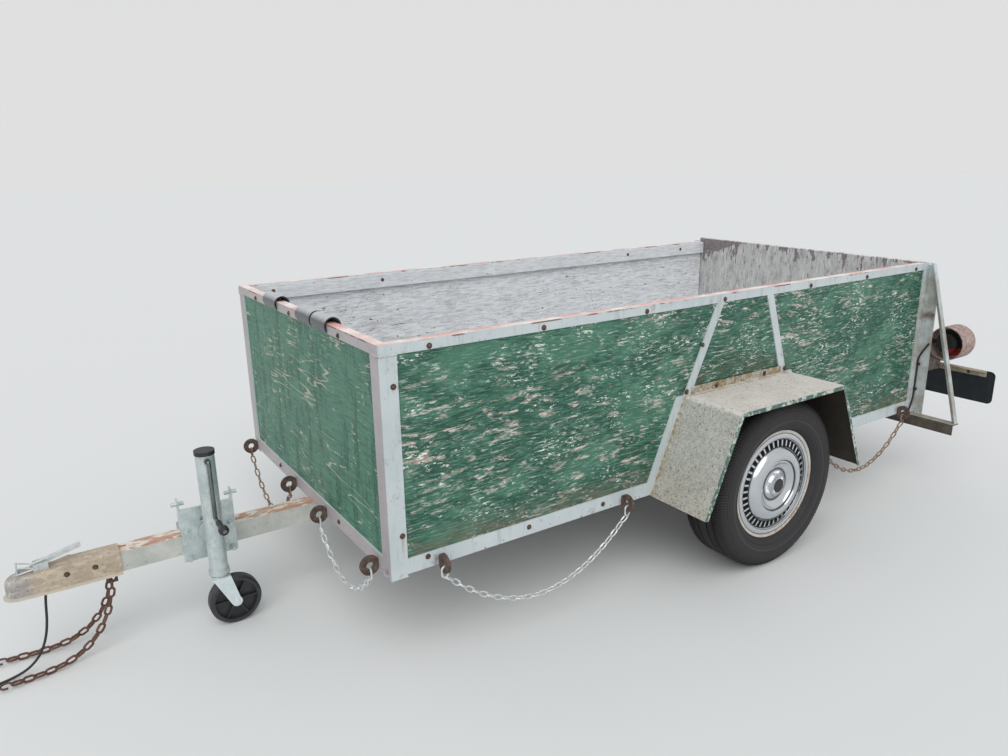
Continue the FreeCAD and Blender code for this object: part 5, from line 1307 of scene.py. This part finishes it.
floor_half = 60.0
floor_mesh = bpy.data.meshes.new("floor")
corners = [(x * floor_half, y * floor_half, 0) for x, y in ((-1, -1), (1, -1), (1, 1), (-1, 1))]
floor_mesh.from_pydata(corners, [], [[0, 1, 2, 3]])
floor_mesh.materials.append(pale_floor())
floor = bpy.data.objects.new("floor", floor_mesh)
bpy.context.scene.collection.objects.link(floor)

# The camera, metal and glass see a sky of the same level as the lit floor, so that no horizon shows.
lit_floor = sky_level + sun_level * sun_way.z / math.pi
shown_sky = [c * lit_floor for c in linear(floor_colour)[:3]] + [1.0]
sky = bpy.data.worlds.new("soft_sky")
sky.use_nodes = True
bpy.context.scene.world = sky
tree = sky.node_tree
ray = add(tree, "LightPath").node.outputs
seen = any_of(tree, ray["Is Camera Ray"], ray["Is Glossy Ray"], ray["Is Transmission Ray"])
lighting = [sky_level * tint for tint in (0.98, 1.0, 1.03)] + [1.0]
colour = add(tree, "Mix", {0: seen, 6: lighting, 7: shown_sky}, out=2, data_type="RGBA")
tree.links.new(colour, tree.nodes["Background"].inputs["Color"])

sun = bpy.data.lights.new("broad_soft_light", "SUN")
sun.energy = sun_level
sun.angle = math.radians(60)
lamp = bpy.data.objects.new("broad_soft_light", sun)
lamp.rotation_mode = "QUATERNION"
lamp.rotation_quaternion = sun_way.to_track_quat("Z", "Y")
bpy.context.scene.collection.objects.link(lamp)

# Camera: where the photo was taken from, measured from the near front corner of the bed.
eye_from_corner = Vector((-0.7283, -1.6703, 1.3302))
yaw, pitch, roll = math.radians(56.875), math.radians(-15.634), math.radians(-0.973)
sensor_width = 36.0
lens_length = 27.47
ahead = Vector((math.cos(yaw) * math.cos(pitch), math.sin(yaw) * math.cos(pitch), math.sin(pitch)))
level = Vector((math.sin(yaw), -math.cos(yaw), 0))
upward = level.cross(ahead)
across = level * math.cos(roll) + upward * math.sin(roll)
upright = upward * math.cos(roll) - level * math.sin(roll)
camera = bpy.data.objects.new("camera", bpy.data.cameras.new("camera"))
camera.data.sensor_width = sensor_width
camera.data.lens = lens_length
turn = Matrix((across, upright, -ahead)).transposed()
eye = Vector((bed_front, -half_width, 0)) + eye_from_corner
camera.matrix_world = Matrix.Translation(eye) @ turn.to_4x4()
bpy.context.scene.collection.objects.link(camera)
bpy.context.scene.camera = camera
bpy.context.scene.view_settings.view_transform = "Standard"
